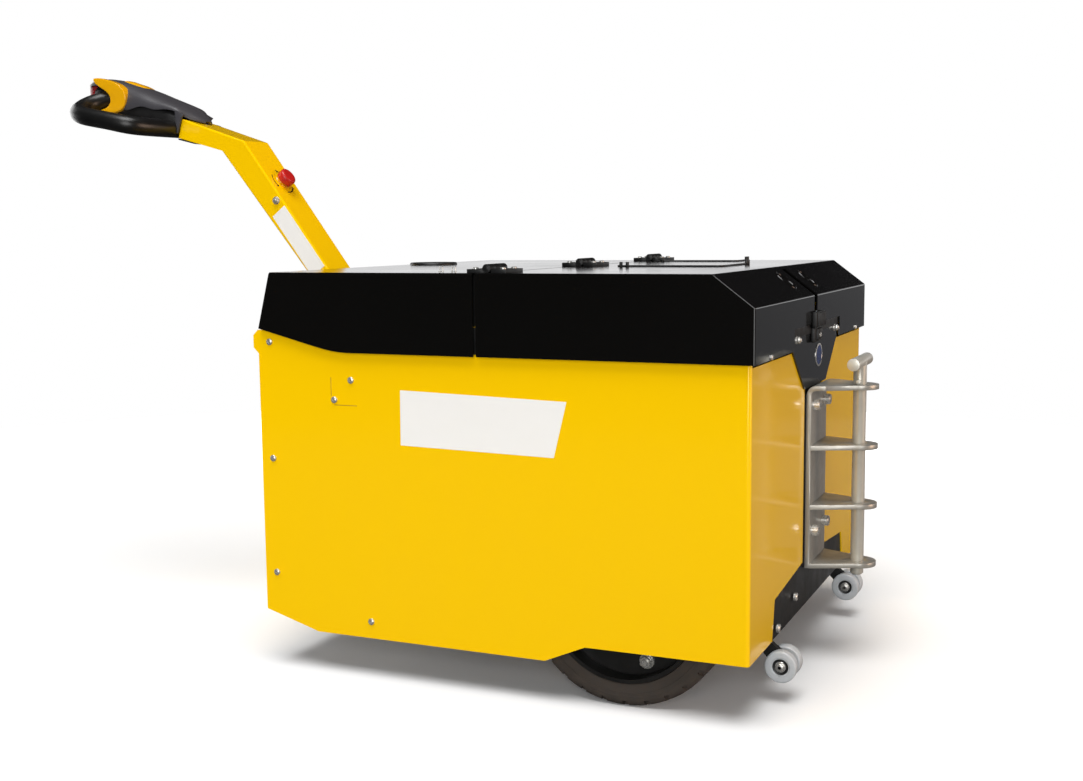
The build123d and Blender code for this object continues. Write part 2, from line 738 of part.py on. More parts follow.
# Guide rollers: a hanging bracket between each pair
bracket_thickness = roller_gap - 2
bracket_plate_width = 60
bracket_plate_height = 40
bracket_foot = 4 * plate
bracket_rise = 15           # bracket's plate above the bulkhead's lower edge
with BuildPart() as roller_brackets:
    for side in (-1, 1):
        with BuildSketch(side_plane(side * roller_y + bracket_thickness / 2)):
            with Locations((roller_x, roller_z)):
                Circle(roller_hub_radius)
            Polygon(
                (bulkhead_x - plate, front_floor_z + bracket_plate_height + bracket_rise),
                (bulkhead_x, front_floor_z + bracket_plate_height + bracket_rise),
                (bulkhead_x, front_floor_z - 1),
                (roller_x + 10, roller_z + 10),
                (roller_x - 8, roller_z - 12),
                (bulkhead_x - bracket_foot, front_floor_z - 5),
                (bulkhead_x - bracket_foot, front_floor_z + bracket_plate_height / 2),
                align=None,
            )
            with Locations((roller_x, roller_z)):
                Circle(roller_axle_radius + running_gap, mode=Mode.SUBTRACT)
        extrude(amount=bracket_thickness)
        with BuildSketch(Plane.YZ.offset(bulkhead_x - plate)):
            with Locations((side * roller_y, front_floor_z + bracket_plate_height / 2 + bracket_rise)):
                Rectangle(bracket_plate_width, bracket_plate_height)
        extrude(amount=plate)
finish(roller_brackets, "roller_brackets")

roller_edge = 2.5
axle_reach = 5              # roller axle beyond the outer roller's face
for label, side in (("right", -1), ("left", 1)):
    outer_high = side * roller_y + roller_gap / 2 + roller_width
    inner_high = side * roller_y - roller_gap / 2
    with BuildPart() as roller_treads:
        for y in (outer_high, inner_high):
            with BuildSketch(side_plane(y)):
                with Locations((roller_x, roller_z)):
                    Circle(roller_radius)
                    Circle(roller_hub_radius, mode=Mode.SUBTRACT)
            extrude(amount=roller_width)
        chamfer(
            roller_treads.edges().filter_by(GeomType.CIRCLE).group_by(SortBy.RADIUS)[-1],
            roller_edge,
        )
    finish(roller_treads, f"roller_treads_{label}")
    with BuildPart() as roller_hubs:
        for y in (outer_high, inner_high):
            with BuildSketch(side_plane(y - 1)):
                with Locations((roller_x, roller_z)):
                    Circle(roller_hub_radius)
            extrude(amount=roller_width - 2)
        with BuildSketch(side_plane(outer_high + axle_reach)):
            with Locations((roller_x, roller_z)):
                Circle(roller_axle_radius)
        extrude(amount=2 * roller_width + roller_gap + 2 * axle_reach)
    finish(roller_hubs, f"roller_hubs_{label}")

# Batteries on the deck
bay_rear_x = divider_x + plate
battery_columns = 2
battery_length = panel_inner_y - battery_side_margin - battery_gap / 2
battery_room = bulkhead_x - bay_rear_x - 2 * battery_end_margin
battery_width = (battery_room - (battery_columns - 1) * battery_gap) / battery_columns
with BuildPart() as battery_blocks:
    with BuildSketch(Plane.XY.offset(deck_z + plate)):
        with Locations(((bay_rear_x + bulkhead_x) / 2, 0)):
            with GridLocations(
                battery_width + battery_gap, battery_length + battery_gap, battery_columns, 2
            ):
                Rectangle(battery_width, battery_length)
    extrude(amount=battery_height)
finish(battery_blocks, "battery_blocks")

# Handle arm: one folded box that leans back, with a bend below the head
base_face_x = panel_rear_x - base_plate
pod_front_x = head_rear_x + head_length
arm_front_low = Vector(base_face_x, arm_foot_z)
arm_rear_low = Vector(base_face_x, arm_foot_z - arm_foot_height)
arm_front_bend = Vector(pod_front_x - arm_top_run[0], handle_height - arm_bend_drop)
arm_front_top = arm_front_bend + Vector(*arm_top_run)
arm_rear_bend = arm_front_bend + Vector(*arm_bend_depth)
arm_rear_top = arm_front_top + Vector(*arm_top_depth)
bracket_width = 150
bracket_height = 140
bracket_corner = 10
bracket_drop = 50           # bracket's middle below the upper edge of the arm's foot
cheek_floor_drop = 112
cheek_top_rise = 12
cheek_peak = (-30, 38)      # cheek's corners from the upper edge of the arm's foot
cheek_nose = (-62, 10)
with BuildPart() as arm_bracket:
    with BuildSketch(Plane.YZ.offset(base_face_x)):
        with Locations((0, arm_foot_z - bracket_drop)):
            RectangleRounded(bracket_width, bracket_height, bracket_corner)
    extrude(amount=base_plate)
    for y_high in (arm_width / 2 + bracket_cheek, -arm_width / 2):
        with BuildSketch(side_plane(y_high)):
            Polygon(
                (base_face_x, arm_foot_z - cheek_floor_drop),
                (base_face_x, arm_foot_z + cheek_top_rise),
                arm_front_low + Vector(*cheek_peak),
                arm_front_low + Vector(*cheek_nose),
                align=None,
            )
        extrude(amount=bracket_cheek)
finish(arm_bracket, "arm_bracket")

with BuildPart() as handle_arm:
    with BuildSketch(side_plane(arm_width / 2)):
        Polygon(
            arm_rear_low, arm_front_low, arm_front_bend, arm_front_top, arm_rear_top, arm_rear_bend,
            align=None,
        )
    extrude(amount=arm_width)
    side_edges = handle_arm.edges().filter_by(Axis.Y, reverse=True)
    fillet(side_edges.filter_by(lambda edge: edge.length > 2 * arm_foot_height), arm_edge_radius)
    front_run = (arm_front_low - arm_front_bend).normalized() * arm_foot_height
    rear_run = (arm_rear_low - arm_rear_bend).normalized() * arm_foot_height
    top_run = Vector(*arm_top_run).normalized() * arm_foot_height
    with BuildSketch(side_plane(arm_width / 2 - arm_wall)):
        Polygon(
            arm_rear_low + rear_run, arm_front_low + front_run, arm_front_bend,
            arm_front_top + top_run, arm_rear_top + top_run, arm_rear_bend,
            align=None,
        )
        offset(amount=-arm_wall, kind=Kind.INTERSECTION)
    extrude(amount=arm_width - 2 * arm_wall, mode=Mode.SUBTRACT)
finish(handle_arm, "handle_arm")

# Tiller head: a moulded pod with its thin front lip lapping over the arm
pod_rows = (
    # run ahead of the head's rear end, width, drop of the top, height, corner radius
    (306, 72, 91, 17, 6),
    (head_length, 98, 76, 64, 16),
    (205, 112, 45, 78, 22),
    (145, 112, 20, 80, 24),
    (75, 96, 6, 68, 22),
    (40, 74, 1, 56, 16),
    (button_reach, 30, 8, 28, 8),
)
with BuildPart() as tiller_pod:
    for run, width, drop, height, radius in pod_rows:
        with BuildSketch(Plane.YZ.offset(head_rear_x + run)):
            with Locations((0, handle_height - drop - height / 2)):
                RectangleRounded(width, height, radius)
    loft(ruled=True)
    with BuildSketch(side_plane(arm_width / 2)):
        Polygon(arm_front_bend, arm_front_top, arm_rear_top, arm_rear_bend, align=None)
    extrude(amount=arm_width, mode=Mode.SUBTRACT)
finish(tiller_pod, "tiller_pod")

bow_rows = (
    # run ahead of the head's rear end, distance from the middle, drop below the head's top
    (253, 44, 115),
    (245, 146, 113),
    (92, 145, 92),
    (54, 86, 72),
    (83, 40, 51),
)
with BuildPart() as grip_bow:
    for side in (-1, 1):
        bow_points = [
            (head_rear_x + run, side * reach, handle_height - drop) for run, reach, drop in bow_rows
        ]
        with BuildLine() as bow_path:
            FilletPolyline(
                *bow_points,
                radius=[grip_front_radius, grip_side_radius, grip_rear_radius],
            )
        with BuildSketch(Plane(origin=bow_path.line @ 0, z_dir=bow_path.line % 0)):
            Circle(grip_radius)
        sweep(path=bow_path.line)
finish(grip_bow, "grip_bow")

button_width = 26
button_height = 20
button_drop = 22
with BuildPart() as rear_button:
    with BuildSketch(Plane.YZ.offset(head_rear_x)):
        with Locations((0, handle_height - button_drop)):
            RectangleRounded(button_width, button_height, button_height / 3)
    extrude(amount=button_reach)
finish(rear_button, "rear_button")

# Yellow thumb levers: a crescent round each grip with a beak along the head's top
grip_root = Vector(head_rear_x + bow_rows[-1][0], handle_height - bow_rows[-1][2])
lever_bore = grip_radius + lever_gap
lever_centre = grip_root + Vector(10, 8)
beak_top = handle_height - 3
with BuildPart() as thumb_levers:
    for side in (-1, 1):
        with BuildSketch(side_plane(side * (lever_y + lever_width / 2) + lever_width / 2)):
            with Locations(lever_centre):
                Ellipse(*lever_radii)
            Polygon(
                lever_centre + Vector(0, lever_radii[1]),
                (head_rear_x + button_reach + 16, beak_top),
                (head_rear_x + button_reach + 14, beak_top - 10),
                grip_root + Vector(-6, lever_bore),
                lever_centre,
                align=None,
            )
            with Locations(grip_root):
                Circle(lever_bore, mode=Mode.SUBTRACT)
            with Locations(grip_root - Vector(lever_radii[0], 0)):
                Rectangle(2 * lever_radii[0], 2 * lever_bore, mode=Mode.SUBTRACT)
        extrude(amount=lever_width)
finish(thumb_levers, "thumb_levers")

# Stop button on the arm's upper face
arm_run = arm_front_bend - arm_front_low
arm_direction = arm_run.normalized()
stop_set_back = 101         # button's centre below the arm's bend
stop_point = arm_front_bend - arm_direction * stop_set_back
stop_face = Plane(
    origin=(stop_point.X, 0, stop_point.Y),
    x_dir=(0, 1, 0),
    z_dir=(arm_direction.Y, 0, -arm_direction.X),
)
stop_neck_radius = 15
stop_neck_height = 10
stop_cap_radius = 18
stop_cap_height = 14
stop_cap_edge = 4
with BuildPart() as stop_button:
    with BuildSketch(stop_face):
        Circle(stop_neck_radius)
    extrude(amount=stop_neck_height)
    with BuildSketch(stop_face.offset(stop_neck_height)):
        Circle(stop_cap_radius)
    extrude(amount=stop_cap_height)
    chamfer(stop_button.edges().filter_by(GeomType.CIRCLE).sort_by(Axis.Z)[-1], stop_cap_edge)
finish(stop_button, "stop_button")

# Round cap on the rear cover
cap_radius = 47
cap_y = 70
cap_height = 4
with BuildPart() as cover_cap:
    with BuildSketch(Plane.XY.offset(cover_top_z)):
        with Locations((rear_top_x + cap_radius, cap_y)):
            Circle(cap_radius)
    extrude(amount=cap_height)
    chamfer(cover_cap.edges().group_by(Axis.Z)[-1], cap_height / 2)
finish(cover_cap, "cover_cap")

# Latch: the lid's ribbed half above the keeper on the vee plate
latch_width = 80
latch_height = 22
latch_depth = 8
latch_rib_count = 5
latch_rib_width = 7
keeper_width = 60
keeper_height = 22
keeper_depth = 12
latch_floor_z = vee_top_z + 1
keeper_floor_z = skirt_z + 4
with BuildPart() as lid_latch:
    with BuildSketch(Plane.YZ.offset(lid_front_x)):
        with Locations((latch_y, latch_floor_z + latch_height / 2)):
            RectangleRounded(latch_width, latch_height, 3)
    extrude(amount=latch_depth)
    with BuildSketch(Plane.YZ.offset(lid_front_x + latch_depth)):
        with Locations((latch_y, latch_floor_z + latch_height / 2)):
            with GridLocations(latch_width / latch_rib_count, 1, latch_rib_count, 1):
                Rectangle(latch_rib_width, latch_height - 4)
    extrude(amount=latch_depth / 2)
finish(lid_latch, "lid_latch")

with BuildPart() as latch_keeper:
    with BuildSketch(Plane.YZ.offset(panel_front_x + vee_thickness)):
        with Locations((latch_y, keeper_floor_z + keeper_height / 2)):
            RectangleRounded(keeper_width, keeper_height, 4)
    extrude(amount=keeper_depth)
finish(latch_keeper, "latch_keeper")

# Socket screws of the hitch
socket_radius = 5
screw_rows_z = (hitch_bottom_z + screw_end_margin + 30, hitch_top_z - screw_end_margin)
with BuildPart() as hitch_screws:
    with BuildSketch(Plane.YZ.offset(hitch_face_x)):
        for z in screw_rows_z:
            with Locations((-screw_half_spacing, z), (screw_half_spacing, z)):
                Circle(screw_head_radius)
                RegularPolygon(socket_radius, 6, mode=Mode.SUBTRACT)
    extrude(amount=screw_head_length)
    with BuildSketch(Plane.YZ.offset(hitch_face_x)):
        for z in screw_rows_z:
            with Locations((-screw_half_spacing, z), (screw_half_spacing, z)):
                Circle(screw_head_radius - 1)
    extrude(amount=screw_head_length / 2)
finish(hitch_screws, "hitch_screws")

# Thin rails on the lid, each with one bend and held by pairs of studs
rail_width = 2.5
rail_bend_radius = 12
stud_radius = 3
stud_height = 8
stud_pitch = 12
rail_rows = (
    # start and bend behind the lid's front, y of the start, y of the end
    (351, 158, -50, 125),
    (406, 232, cover_half_width - 115, cover_half_width - 30),
)
with BuildPart() as lid_rails:
    for start, bend, start_y, end_y in rail_rows:
        start_x = lid_front_x - start
        bend_x = lid_front_x - bend
        with BuildSketch(Plane.XY.offset(cover_top_z)):
            with BuildLine():
                FilletPolyline(
                    (start_x, start_y), (bend_x, start_y), (bend_x, end_y), radius=rail_bend_radius
                )
            trace(line_width=rail_width)
        extrude(amount=rail_width)
        with BuildSketch(Plane.XY.offset(cover_top_z)):
            with Locations(
                (start_x + stud_pitch / 2, start_y),
                (start_x + 3 * stud_pitch / 2, start_y),
                (bend_x, end_y - stud_pitch / 2),
                (bend_x, end_y - 3 * stud_pitch / 2),
            ):
                Circle(stud_radius)
        extrude(amount=stud_height)
finish(lid_rails, "lid_rails")
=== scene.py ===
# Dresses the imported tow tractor: finishes, hardware, tyres, tiller head and the studio round it
import json
from math import copysign, cos, pi, radians, sin

import bmesh
import bpy
from mathutils import Matrix, Vector


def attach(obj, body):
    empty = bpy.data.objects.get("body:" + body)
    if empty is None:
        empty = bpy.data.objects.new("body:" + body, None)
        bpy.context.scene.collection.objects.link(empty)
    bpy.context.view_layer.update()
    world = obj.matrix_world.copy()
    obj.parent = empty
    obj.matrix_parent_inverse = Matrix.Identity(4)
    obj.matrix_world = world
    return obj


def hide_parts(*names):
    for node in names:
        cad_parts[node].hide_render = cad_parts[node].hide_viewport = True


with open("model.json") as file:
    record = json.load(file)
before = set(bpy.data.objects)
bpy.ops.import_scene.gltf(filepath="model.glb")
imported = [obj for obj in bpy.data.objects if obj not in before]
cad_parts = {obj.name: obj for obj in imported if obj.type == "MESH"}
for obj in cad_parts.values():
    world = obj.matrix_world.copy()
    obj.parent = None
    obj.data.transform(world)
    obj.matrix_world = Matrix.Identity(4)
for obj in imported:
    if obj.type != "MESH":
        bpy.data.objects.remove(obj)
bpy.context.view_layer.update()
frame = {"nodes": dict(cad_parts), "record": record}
nodes = frame["nodes"]
mm = 0.001
xAxis, yAxis, zAxis = Vector((1, 0, 0)), Vector((0, 1, 0)), Vector((0, 0, 1))


# Camera at the photograph's viewpoint, solved from the straight edges of the body
viewpoint = {
    "place": (1.2388, -2.3116, 0.751),
    "turn": 23.865,  # degrees round the upright axis
    "tilt": 6.812,  # degrees down
    "roll": -0.583,
    "lens": 44.655,  # millimetres on a 36 mm wide sensor
}
cameraData = bpy.data.cameras.new("photoCamera")
cameraData.lens = viewpoint["lens"]
cameraData.sensor_width = 36
cameraData.clip_start = 0.05
camera = bpy.data.objects.new("photoCamera", cameraData)
bpy.context.scene.collection.objects.link(camera)
camera.matrix_world = (
    Matrix.Translation(viewpoint["place"])
    @ Matrix.Rotation(radians(viewpoint["turn"]), 4, "Z")
    @ Matrix.Rotation(radians(90 - viewpoint["tilt"]), 4, "X")
    @ Matrix.Rotation(radians(viewpoint["roll"]), 4, "Z")
)
bpy.context.scene.camera = camera
bpy.context.scene.view_settings.view_transform = "Standard"
print("camera placed")


def linear(hexColour):
    channels = [int(hexColour[i:i + 2], 16) / 255 for i in (1, 3, 5)]
    return [c / 12.92 if c <= 0.04045 else ((c + 0.055) / 1.055) ** 2.4 for c in channels] + [1]


def emptyTree(owner):
    owner.use_nodes = True
    owner.node_tree.nodes.clear()
    return owner.node_tree


def addNode(tree, kind, values=None, links=None, **settings):
    node = tree.nodes.new("ShaderNode" + kind)
    for name, value in settings.items():
        setattr(node, name, value)
    for socket, value in (values or {}).items():
        node.inputs[socket].default_value = value
    for socket, source in (links or {}).items():
        tree.links.new(source, node.inputs[socket])
    return node


# Studio: white all round for the camera, soft lamps from the camera's left and above
studio = {
    "ambient": 0.14,  # even light from all sides
    # strength, degrees round the upright axis, degrees above the floor, degrees across, tint
    "lamps": {
        "keyLamp": (1.6, 18, 11, 40, "#FFFFFF"),  # low, so its shadow falls behind
        "topLamp": (2.65, 8, 72, 40, "#FFFFFF"),
        "sideLamp": (1.0, 95, 5, 32, "#FFD8BC"),  # warm, on the hitch end
        "backLamp": (0.9, 246, 7, 40, "#FFFFFF"),  # on the handle end, unseen by the lid
    },
    # what glossy surfaces see beyond the machine, from low (0) to high (1)
    "wall": ((0.40, "#5E5E60"), (0.47, "#666668"), (0.505, "#FFFFFF"), (0.58, "#F0F0F2"),
             (0.65, "#1A1A1C"), (1.0, "#1C1C1E")),
    "wallReach": 0.5,  # upward share of the direction at the wall's ends
    "drapes": "#161617",  # what they see on the camera's side
    "drapeEdge": (-0.25, 0.3),  # y share of the direction where drapes turn into wall
    "floorRadius": 3.2,
    "floorFade": (1.3, 2.6),  # metres from the middle where paper turns into backdrop
    "floorGlow": 0.02,  # lifts the floor's white without lighting the machine
    "floorWhite": "#FBFBFB",
    "floorBounce": "#B4B4B4",  # floor's colour for the light that it throws up
    "floorMirror": "#3C3C3C",  # floor's colour in glossy surfaces
    "frontMirror": "#6E6E6E",  # the same ahead of the hitch
    "frontEdge": (0.78, 0.9),  # x where the one turns into the other
}


def makeWorld(look):
    world = bpy.data.worlds.new("studioWorld")
    bpy.context.scene.world = world
    tree = emptyTree(world)
    rays = addNode(tree, "LightPath").outputs
    mirrored = addNode(tree, "Math", links={
        0: rays["Is Glossy Ray"], 1: rays["Is Transmission Ray"]}, operation="MAXIMUM")
    seen = addNode(tree, "Math", links={
        0: rays["Is Camera Ray"], 1: mirrored.outputs[0]}, operation="MAXIMUM")
    direction = addNode(tree, "TexCoord").outputs["Generated"]
    towards = addNode(tree, "SeparateXYZ", links={0: direction}).outputs
    # Mirrors see the white wall low down beyond the machine, and black drapes elsewhere
    reach = look["wallReach"]
    height = addNode(tree, "MapRange", {"From Min": -reach, "From Max": reach},
                     {"Value": towards["Z"]})
    wall = addNode(tree, "ValToRGB", links={0: height.outputs[0]})
    (lowest, lowShade), *between, (highest, highShade) = look["wall"]
    stops = wall.color_ramp.elements
    stops[0].position, stops[0].color = lowest, linear(lowShade)
    stops[-1].position, stops[-1].color = highest, linear(highShade)
    for place, shade in between:
        stops.new(place).color = linear(shade)
    near, far = look["drapeEdge"]
    beyond = addNode(tree, "MapRange", {"From Min": near, "From Max": far}, {"Value": towards["Y"]})
    sides = addNode(tree, "Mix", {6: linear(look["drapes"])},
                    {0: beyond.outputs[0], 7: wall.outputs[0]}, data_type="RGBA")
    plain = addNode(tree, "Background", {"Color": linear("#FFFFFF"), "Strength": 1})
    room = addNode(tree, "Background", {"Strength": 1}, {"Color": sides.outputs[2]})
    glow = addNode(tree, "Background", {"Color": linear("#FFFFFF"), "Strength": look["ambient"]})
    pictured = addNode(tree, "MixShader", links={
        0: rays["Is Camera Ray"], 1: room.outputs[0], 2: plain.outputs[0]})
    mixed = addNode(tree, "MixShader", links={
        0: seen.outputs[0], 1: glow.outputs[0], 2: pictured.outputs[0]})
    addNode(tree, "OutputWorld", links={0: mixed.outputs[0]})


def addSun(name, strength, turn, tilt, spread, tint):
    lamp = bpy.data.lights.new(name, "SUN")
    lamp.energy = strength
    lamp.color = linear(tint)[:3]
    lamp.angle = radians(spread)
    sun = bpy.data.objects.new(name, lamp)
    sun.matrix_world = (Matrix.Rotation(radians(turn), 4, "Z")
                        @ Matrix.Rotation(radians(90 - tilt), 4, "X"))
    bpy.context.scene.collection.objects.link(sun)


def makeFloor(look):
    bm = bmesh.new()
    bmesh.ops.create_circle(bm, cap_ends=True, segments=96, radius=look["floorRadius"])
    mesh = bpy.data.meshes.new("studioFloor")
    bm.to_mesh(mesh)
    bm.free()
    floor = bpy.data.objects.new("studioFloor", mesh)
    bpy.context.scene.collection.objects.link(floor)
    # White paper sweep: matt near the machine, plain white where it meets the backdrop
    material = bpy.data.materials.new("paperFloor")
    tree = emptyTree(material)
    place = addNode(tree, "TexCoord").outputs["Object"]
    rays = addNode(tree, "LightPath").outputs
    away = addNode(tree, "VectorMath", links={0: place}, operation="LENGTH")
    near, far = look["floorFade"]
    fade = addNode(tree, "MapRange", {
        "From Min": near, "From Max": far, "To Min": look["floorGlow"], "To Max": 1.0},
        {"Value": away.outputs["Value"]}, interpolation_type="SMOOTHSTEP")
    glowing = addNode(tree, "Math", links={0: fade.outputs[0], 1: rays["Is Camera Ray"]},
                      operation="MULTIPLY")
    near, far = look["frontEdge"]
    ahead = addNode(tree, "MapRange", {"From Min": near, "From Max": far},
                    {"Value": addNode(tree, "SeparateXYZ", links={0: place}).outputs["X"]})
    mirror = addNode(tree, "Mix", {6: linear(look["floorMirror"]), 7: linear(look["frontMirror"])},
                     {0: ahead.outputs[0]}, data_type="RGBA")
    thrown = addNode(tree, "Mix", {6: linear(look["floorBounce"])},
                     {0: rays["Is Glossy Ray"], 7: mirror.outputs[2]}, data_type="RGBA")
    white = addNode(tree, "Mix", {7: linear(look["floorWhite"])},
                    {0: rays["Is Camera Ray"], 6: thrown.outputs[2]}, data_type="RGBA")
    paper = addNode(tree, "BsdfDiffuse", links={"Color": white.outputs[2]})
    shine = addNode(tree, "Emission", {"Color": linear("#FFFFFF")},
                    {"Strength": glowing.outputs[0]})
    both = addNode(tree, "AddShader", links={0: paper.outputs[0], 1: shine.outputs[0]})
    addNode(tree, "OutputMaterial", links={0: both.outputs[0]})
    mesh.materials.append(material)


makeWorld(studio)
for lampName, lampLook in studio["lamps"].items():
    addSun(lampName, *lampLook)
makeFloor(studio)
print("studio lit")


# Finishes: colour, second colour, size of the patches between them, smoothest and roughest,
# grain, bump height and the rest. Sizes are millimetres of the real surface.
finishes = {
    # Polyester powder coat, sprayed and baked: wet gloss over a faint orange peel
    "powderCoatYellow": ("#FCCB00", "#FAC600", 420, (0.09, 0.13), 7, 0.018, {"ior": 1.5}),
    # The same coat in black: nearly a mirror, with orange peel that ripples reflections
    "powderCoatBlack": ("#0A0A09", "#0E0D0C", 380, (0.09, 0.13), 6, 0.02, {"ior": 1.5}),
    # Satin chassis paint over plate: dull, slightly dusty
    "chassisPaint": ("#0D0C0C", "#161513", 60, (0.36, 0.5), 2.2, 0.03, {"ior": 1.5}),
    # Glass-filled nylon mouldings: matt with a spark-eroded grain
    "mouldedNylon": ("#0E0E0E", "#151515", 30, (0.38, 0.5), 1.6, 0.05, {"ior": 1.53}),
    # Black EPDM rubber of latch and seals: dull, faint bloom
    "sealRubber": ("#070707", "#0B0B0B", 24, (0.46, 0.6), 1.8, 0.03, {"ior": 1.52}),
    # Zinc plated steel plate, passivated: cloudy grey with fine rub marks
    "zincPlate": ("#B2B0A8", "#94918A", 26, (0.3, 0.46), 1.4, 0.02, {
        "metal": 0.55, "scratch": 0.5}),
    # Machine grey enamel on castings: satin over the sand's faint grain
    "castingEnamel": ("#4A4B4C", "#3E3E3E", 40, (0.4, 0.55), 2.8, 0.12, {"ior": 1.5}),
    # Polypropylene battery cases: waxy dull black
    "polypropylene": ("#23262A", "#1C1E20", 50, (0.4, 0.52), 2.0, 0.04, {"ior": 1.49}),
    # Black rubber tyre that has rolled on concrete: grey-brown dust in the pores
    "dustyTyre": ("#2B2622", "#4A4037", 16, (0.72, 0.92), 2.4, 0.12, {"ior": 1.52}),
    # Elastic castor tread: grey rubber, scuffed
    "castorTread": ("#4C4C4D", "#39383A", 12, (0.6, 0.75), 2.0, 0.08, {"ior": 1.52}),
    # Black enamel on the wheel discs: satin with soft highlights
    "rimEnamel": ("#121212", "#1B1A18", 35, (0.3, 0.45), 3.0, 0.04, {"ior": 1.5}),
    # White polyamide rollers: milky, faintly turned
    "rollerNylon": ("#C3C6C9", "#AEB2B5", 14, (0.34, 0.46), 1.2, 0.02, {"ior": 1.53}),
    # Soft-touch grey ABS shell: even matt with a fine moulded grain
    "podShell": ("#434246", "#3A393E", 45, (0.42, 0.52), 1.5, 0.05, {"ior": 1.53}),
    # Thermoplastic rubber grip: dull skin with a soft sheen
    "gripSkin": ("#0E0E0E", "#131313", 30, (0.33, 0.4), 1.4, 0.03, {"ior": 1.52}),
    # Gloss ABS levers from a polished tool: clear highlights
    "leverPlastic": ("#F2B205", "#E8A704", 25, (0.2, 0.26), 2.5, 0.01, {
        "coat": 0.4, "coatRough": 0.08, "ior": 1.53}),
    # Red ABS buttons, moulded: half gloss
    "buttonRed": ("#C5201C", "#B41A18", 14, (0.3, 0.38), 1.4, 0.02, {"ior": 1.53}),
    # Red elastomer of the driver's belly pad; its darker red is painted shade of the handle's rear
    # end
    "shadedPadRed": ("#8C1418", "#7C1014", 14, (0.4, 0.5), 1.6, 0.03, {"ior": 1.52}),
    # Bright stainless fasteners, turned and tumbled: sharp small highlights
    "stainless": ("#DAD9D5", "#C4C2BD", 6, (0.2, 0.34), 0.9, 0.01, {"metal": 0.7}),
    # Cold drawn steel pin, zinc plated and rubbed bright
    "drawnSteel": ("#D6D4CA", "#C4C1B6", 18, (0.3, 0.42), 1.2, 0.012, {"metal": 0.5}),
    # Enamel on the blank badge: deep gloss
    "badgeBlue": ("#2B3F77", "#26386C", 12, (0.14, 0.2), 3, 0.005, {"ior": 1.5}),
    # Darker yellow, painted shade along the edges of a tab pressed in the side panels
    "tabEdgeShade": ("#B98A10", "#A87C0E", 10, (0.4, 0.5), 3, 0.01, {"ior": 1.5}),
    # Plain white vinyl film: smooth, half gloss
    "blankVinyl": ("#F6F4F0", "#F1EFEA", 60, (0.28, 0.36), 5, 0.01, {"ior": 1.5}),
}
rubMarks = {"scale": (30, 30, 1200), "turn": (0.3, 0.5, 0)}  # 0.8 mm apart, 33 mm long


def makeFinish(name, colour, second, patch, roughness, grain, bumpHeight, rest):
    material = bpy.data.materials.new(name)
    tree = emptyTree(material)
    place = addNode(tree, "TexCoord").outputs["Object"]
    patches = addNode(tree, "TexNoise", {
        "Scale": 1000 / patch, "Detail": 5, "Roughness": 0.62}, {"Vector": place})
    tint = addNode(tree, "Mix", {6: linear(colour), 7: linear(second)},
                   {0: patches.outputs[0]}, data_type="RGBA")
    rough = addNode(tree, "MapRange", {
        "From Min": 0.35, "From Max": 0.65, "To Min": roughness[0], "To Max": roughness[1]},
        {"Value": patches.outputs[0]})
    height = addNode(tree, "TexNoise", {"Scale": 1000 / grain, "Detail": 2},
                     {"Vector": place}).outputs[0]
    if "scratch" in rest:
        stretched = addNode(tree, "Mapping", {
            "Scale": rubMarks["scale"], "Rotation": rubMarks["turn"]}, {"Vector": place})
        rubs = addNode(tree, "TexNoise", {"Scale": 1, "Detail": 3},
                       {"Vector": stretched.outputs[0]})
        height = addNode(tree, "Mix", {0: rest["scratch"]},
                         {2: height, 3: rubs.outputs[0]}).outputs[0]
    bump = addNode(tree, "Bump", {"Strength": 1, "Distance": bumpHeight * mm},
                   {"Height": height})
    shader = addNode(tree, "BsdfPrincipled", {
        "Metallic": rest.get("metal", 0.0), "Coat Weight": rest.get("coat", 0.0),
        "Coat Roughness": rest.get("coatRough", 0.1)},
        {"Base Color": tint.outputs[2], "Roughness": rough.outputs[0], "Normal": bump.outputs[0]})
    if "ior" in rest:
        shader.inputs["IOR"].default_value = rest["ior"]
    addNode(tree, "OutputMaterial", links={0: shader.outputs[0]})
    return material


finish = {name: makeFinish(name, *look) for name, look in finishes.items()}
slotFinish = {
    "yellow_paint": "powderCoatYellow", "cover_black": "powderCoatBlack",
    "frame_black": "chassisPaint", "moulded_black": "mouldedNylon", "zinc": "zincPlate",
    "drive_grey": "castingEnamel", "battery_case": "polypropylene", "tyre_rubber": "dustyTyre",
    "castor_rubber": "castorTread", "rim_black": "rimEnamel", "roller_grey": "rollerNylon",
    "pod_grey": "podShell", "grip_rubber": "gripSkin", "lever_yellow": "leverPlastic",
    "red_plastic": "buttonRed",
}
for part in frame["record"]["subparts"]:
    nodeMesh = nodes[part["node"]].data
    nodeMesh.materials.clear()
    nodeMesh.materials.append(finish[slotFinish[part["material_slot"]]])
print("finishes laid on", len(nodes), "nodes")


# Mesh helpers: small solids are shaped upright at the origin, then set down on what carries them
def turnedShape(profile, steps=40):
    # profile: (height, radius) pairs in millimetres
    bm = bmesh.new()
    ring = [bm.verts.new((radius * mm, 0, height * mm)) for height, radius in profile]
    line = [bm.edges.new(pair) for pair in zip(ring, ring[1:])]
    bmesh.ops.spin(bm, geom=ring + line, cent=(0, 0, 0), axis=(0, 0, 1), angle=2 * pi,
                   steps=steps, use_merge=True)
    bmesh.ops.remove_doubles(bm, verts=bm.verts, dist=0.002 * mm)
    return bm


def pushOut(bm, faces, depth):
    pushed = bmesh.ops.extrude_face_region(bm, geom=faces)["geom"]
    bmesh.ops.translate(bm, verts=[item for item in pushed if isinstance(item, bmesh.types.BMVert)],
                        vec=Vector(depth) * mm)


def slabShape(outline, depth):
    # outline: millimetre points of one flat face, pushed out by the depth
    bm = bmesh.new()
    face = bm.faces.new([bm.verts.new(Vector(point) * mm) for point in outline])
    pushOut(bm, [face], depth)
    return bm


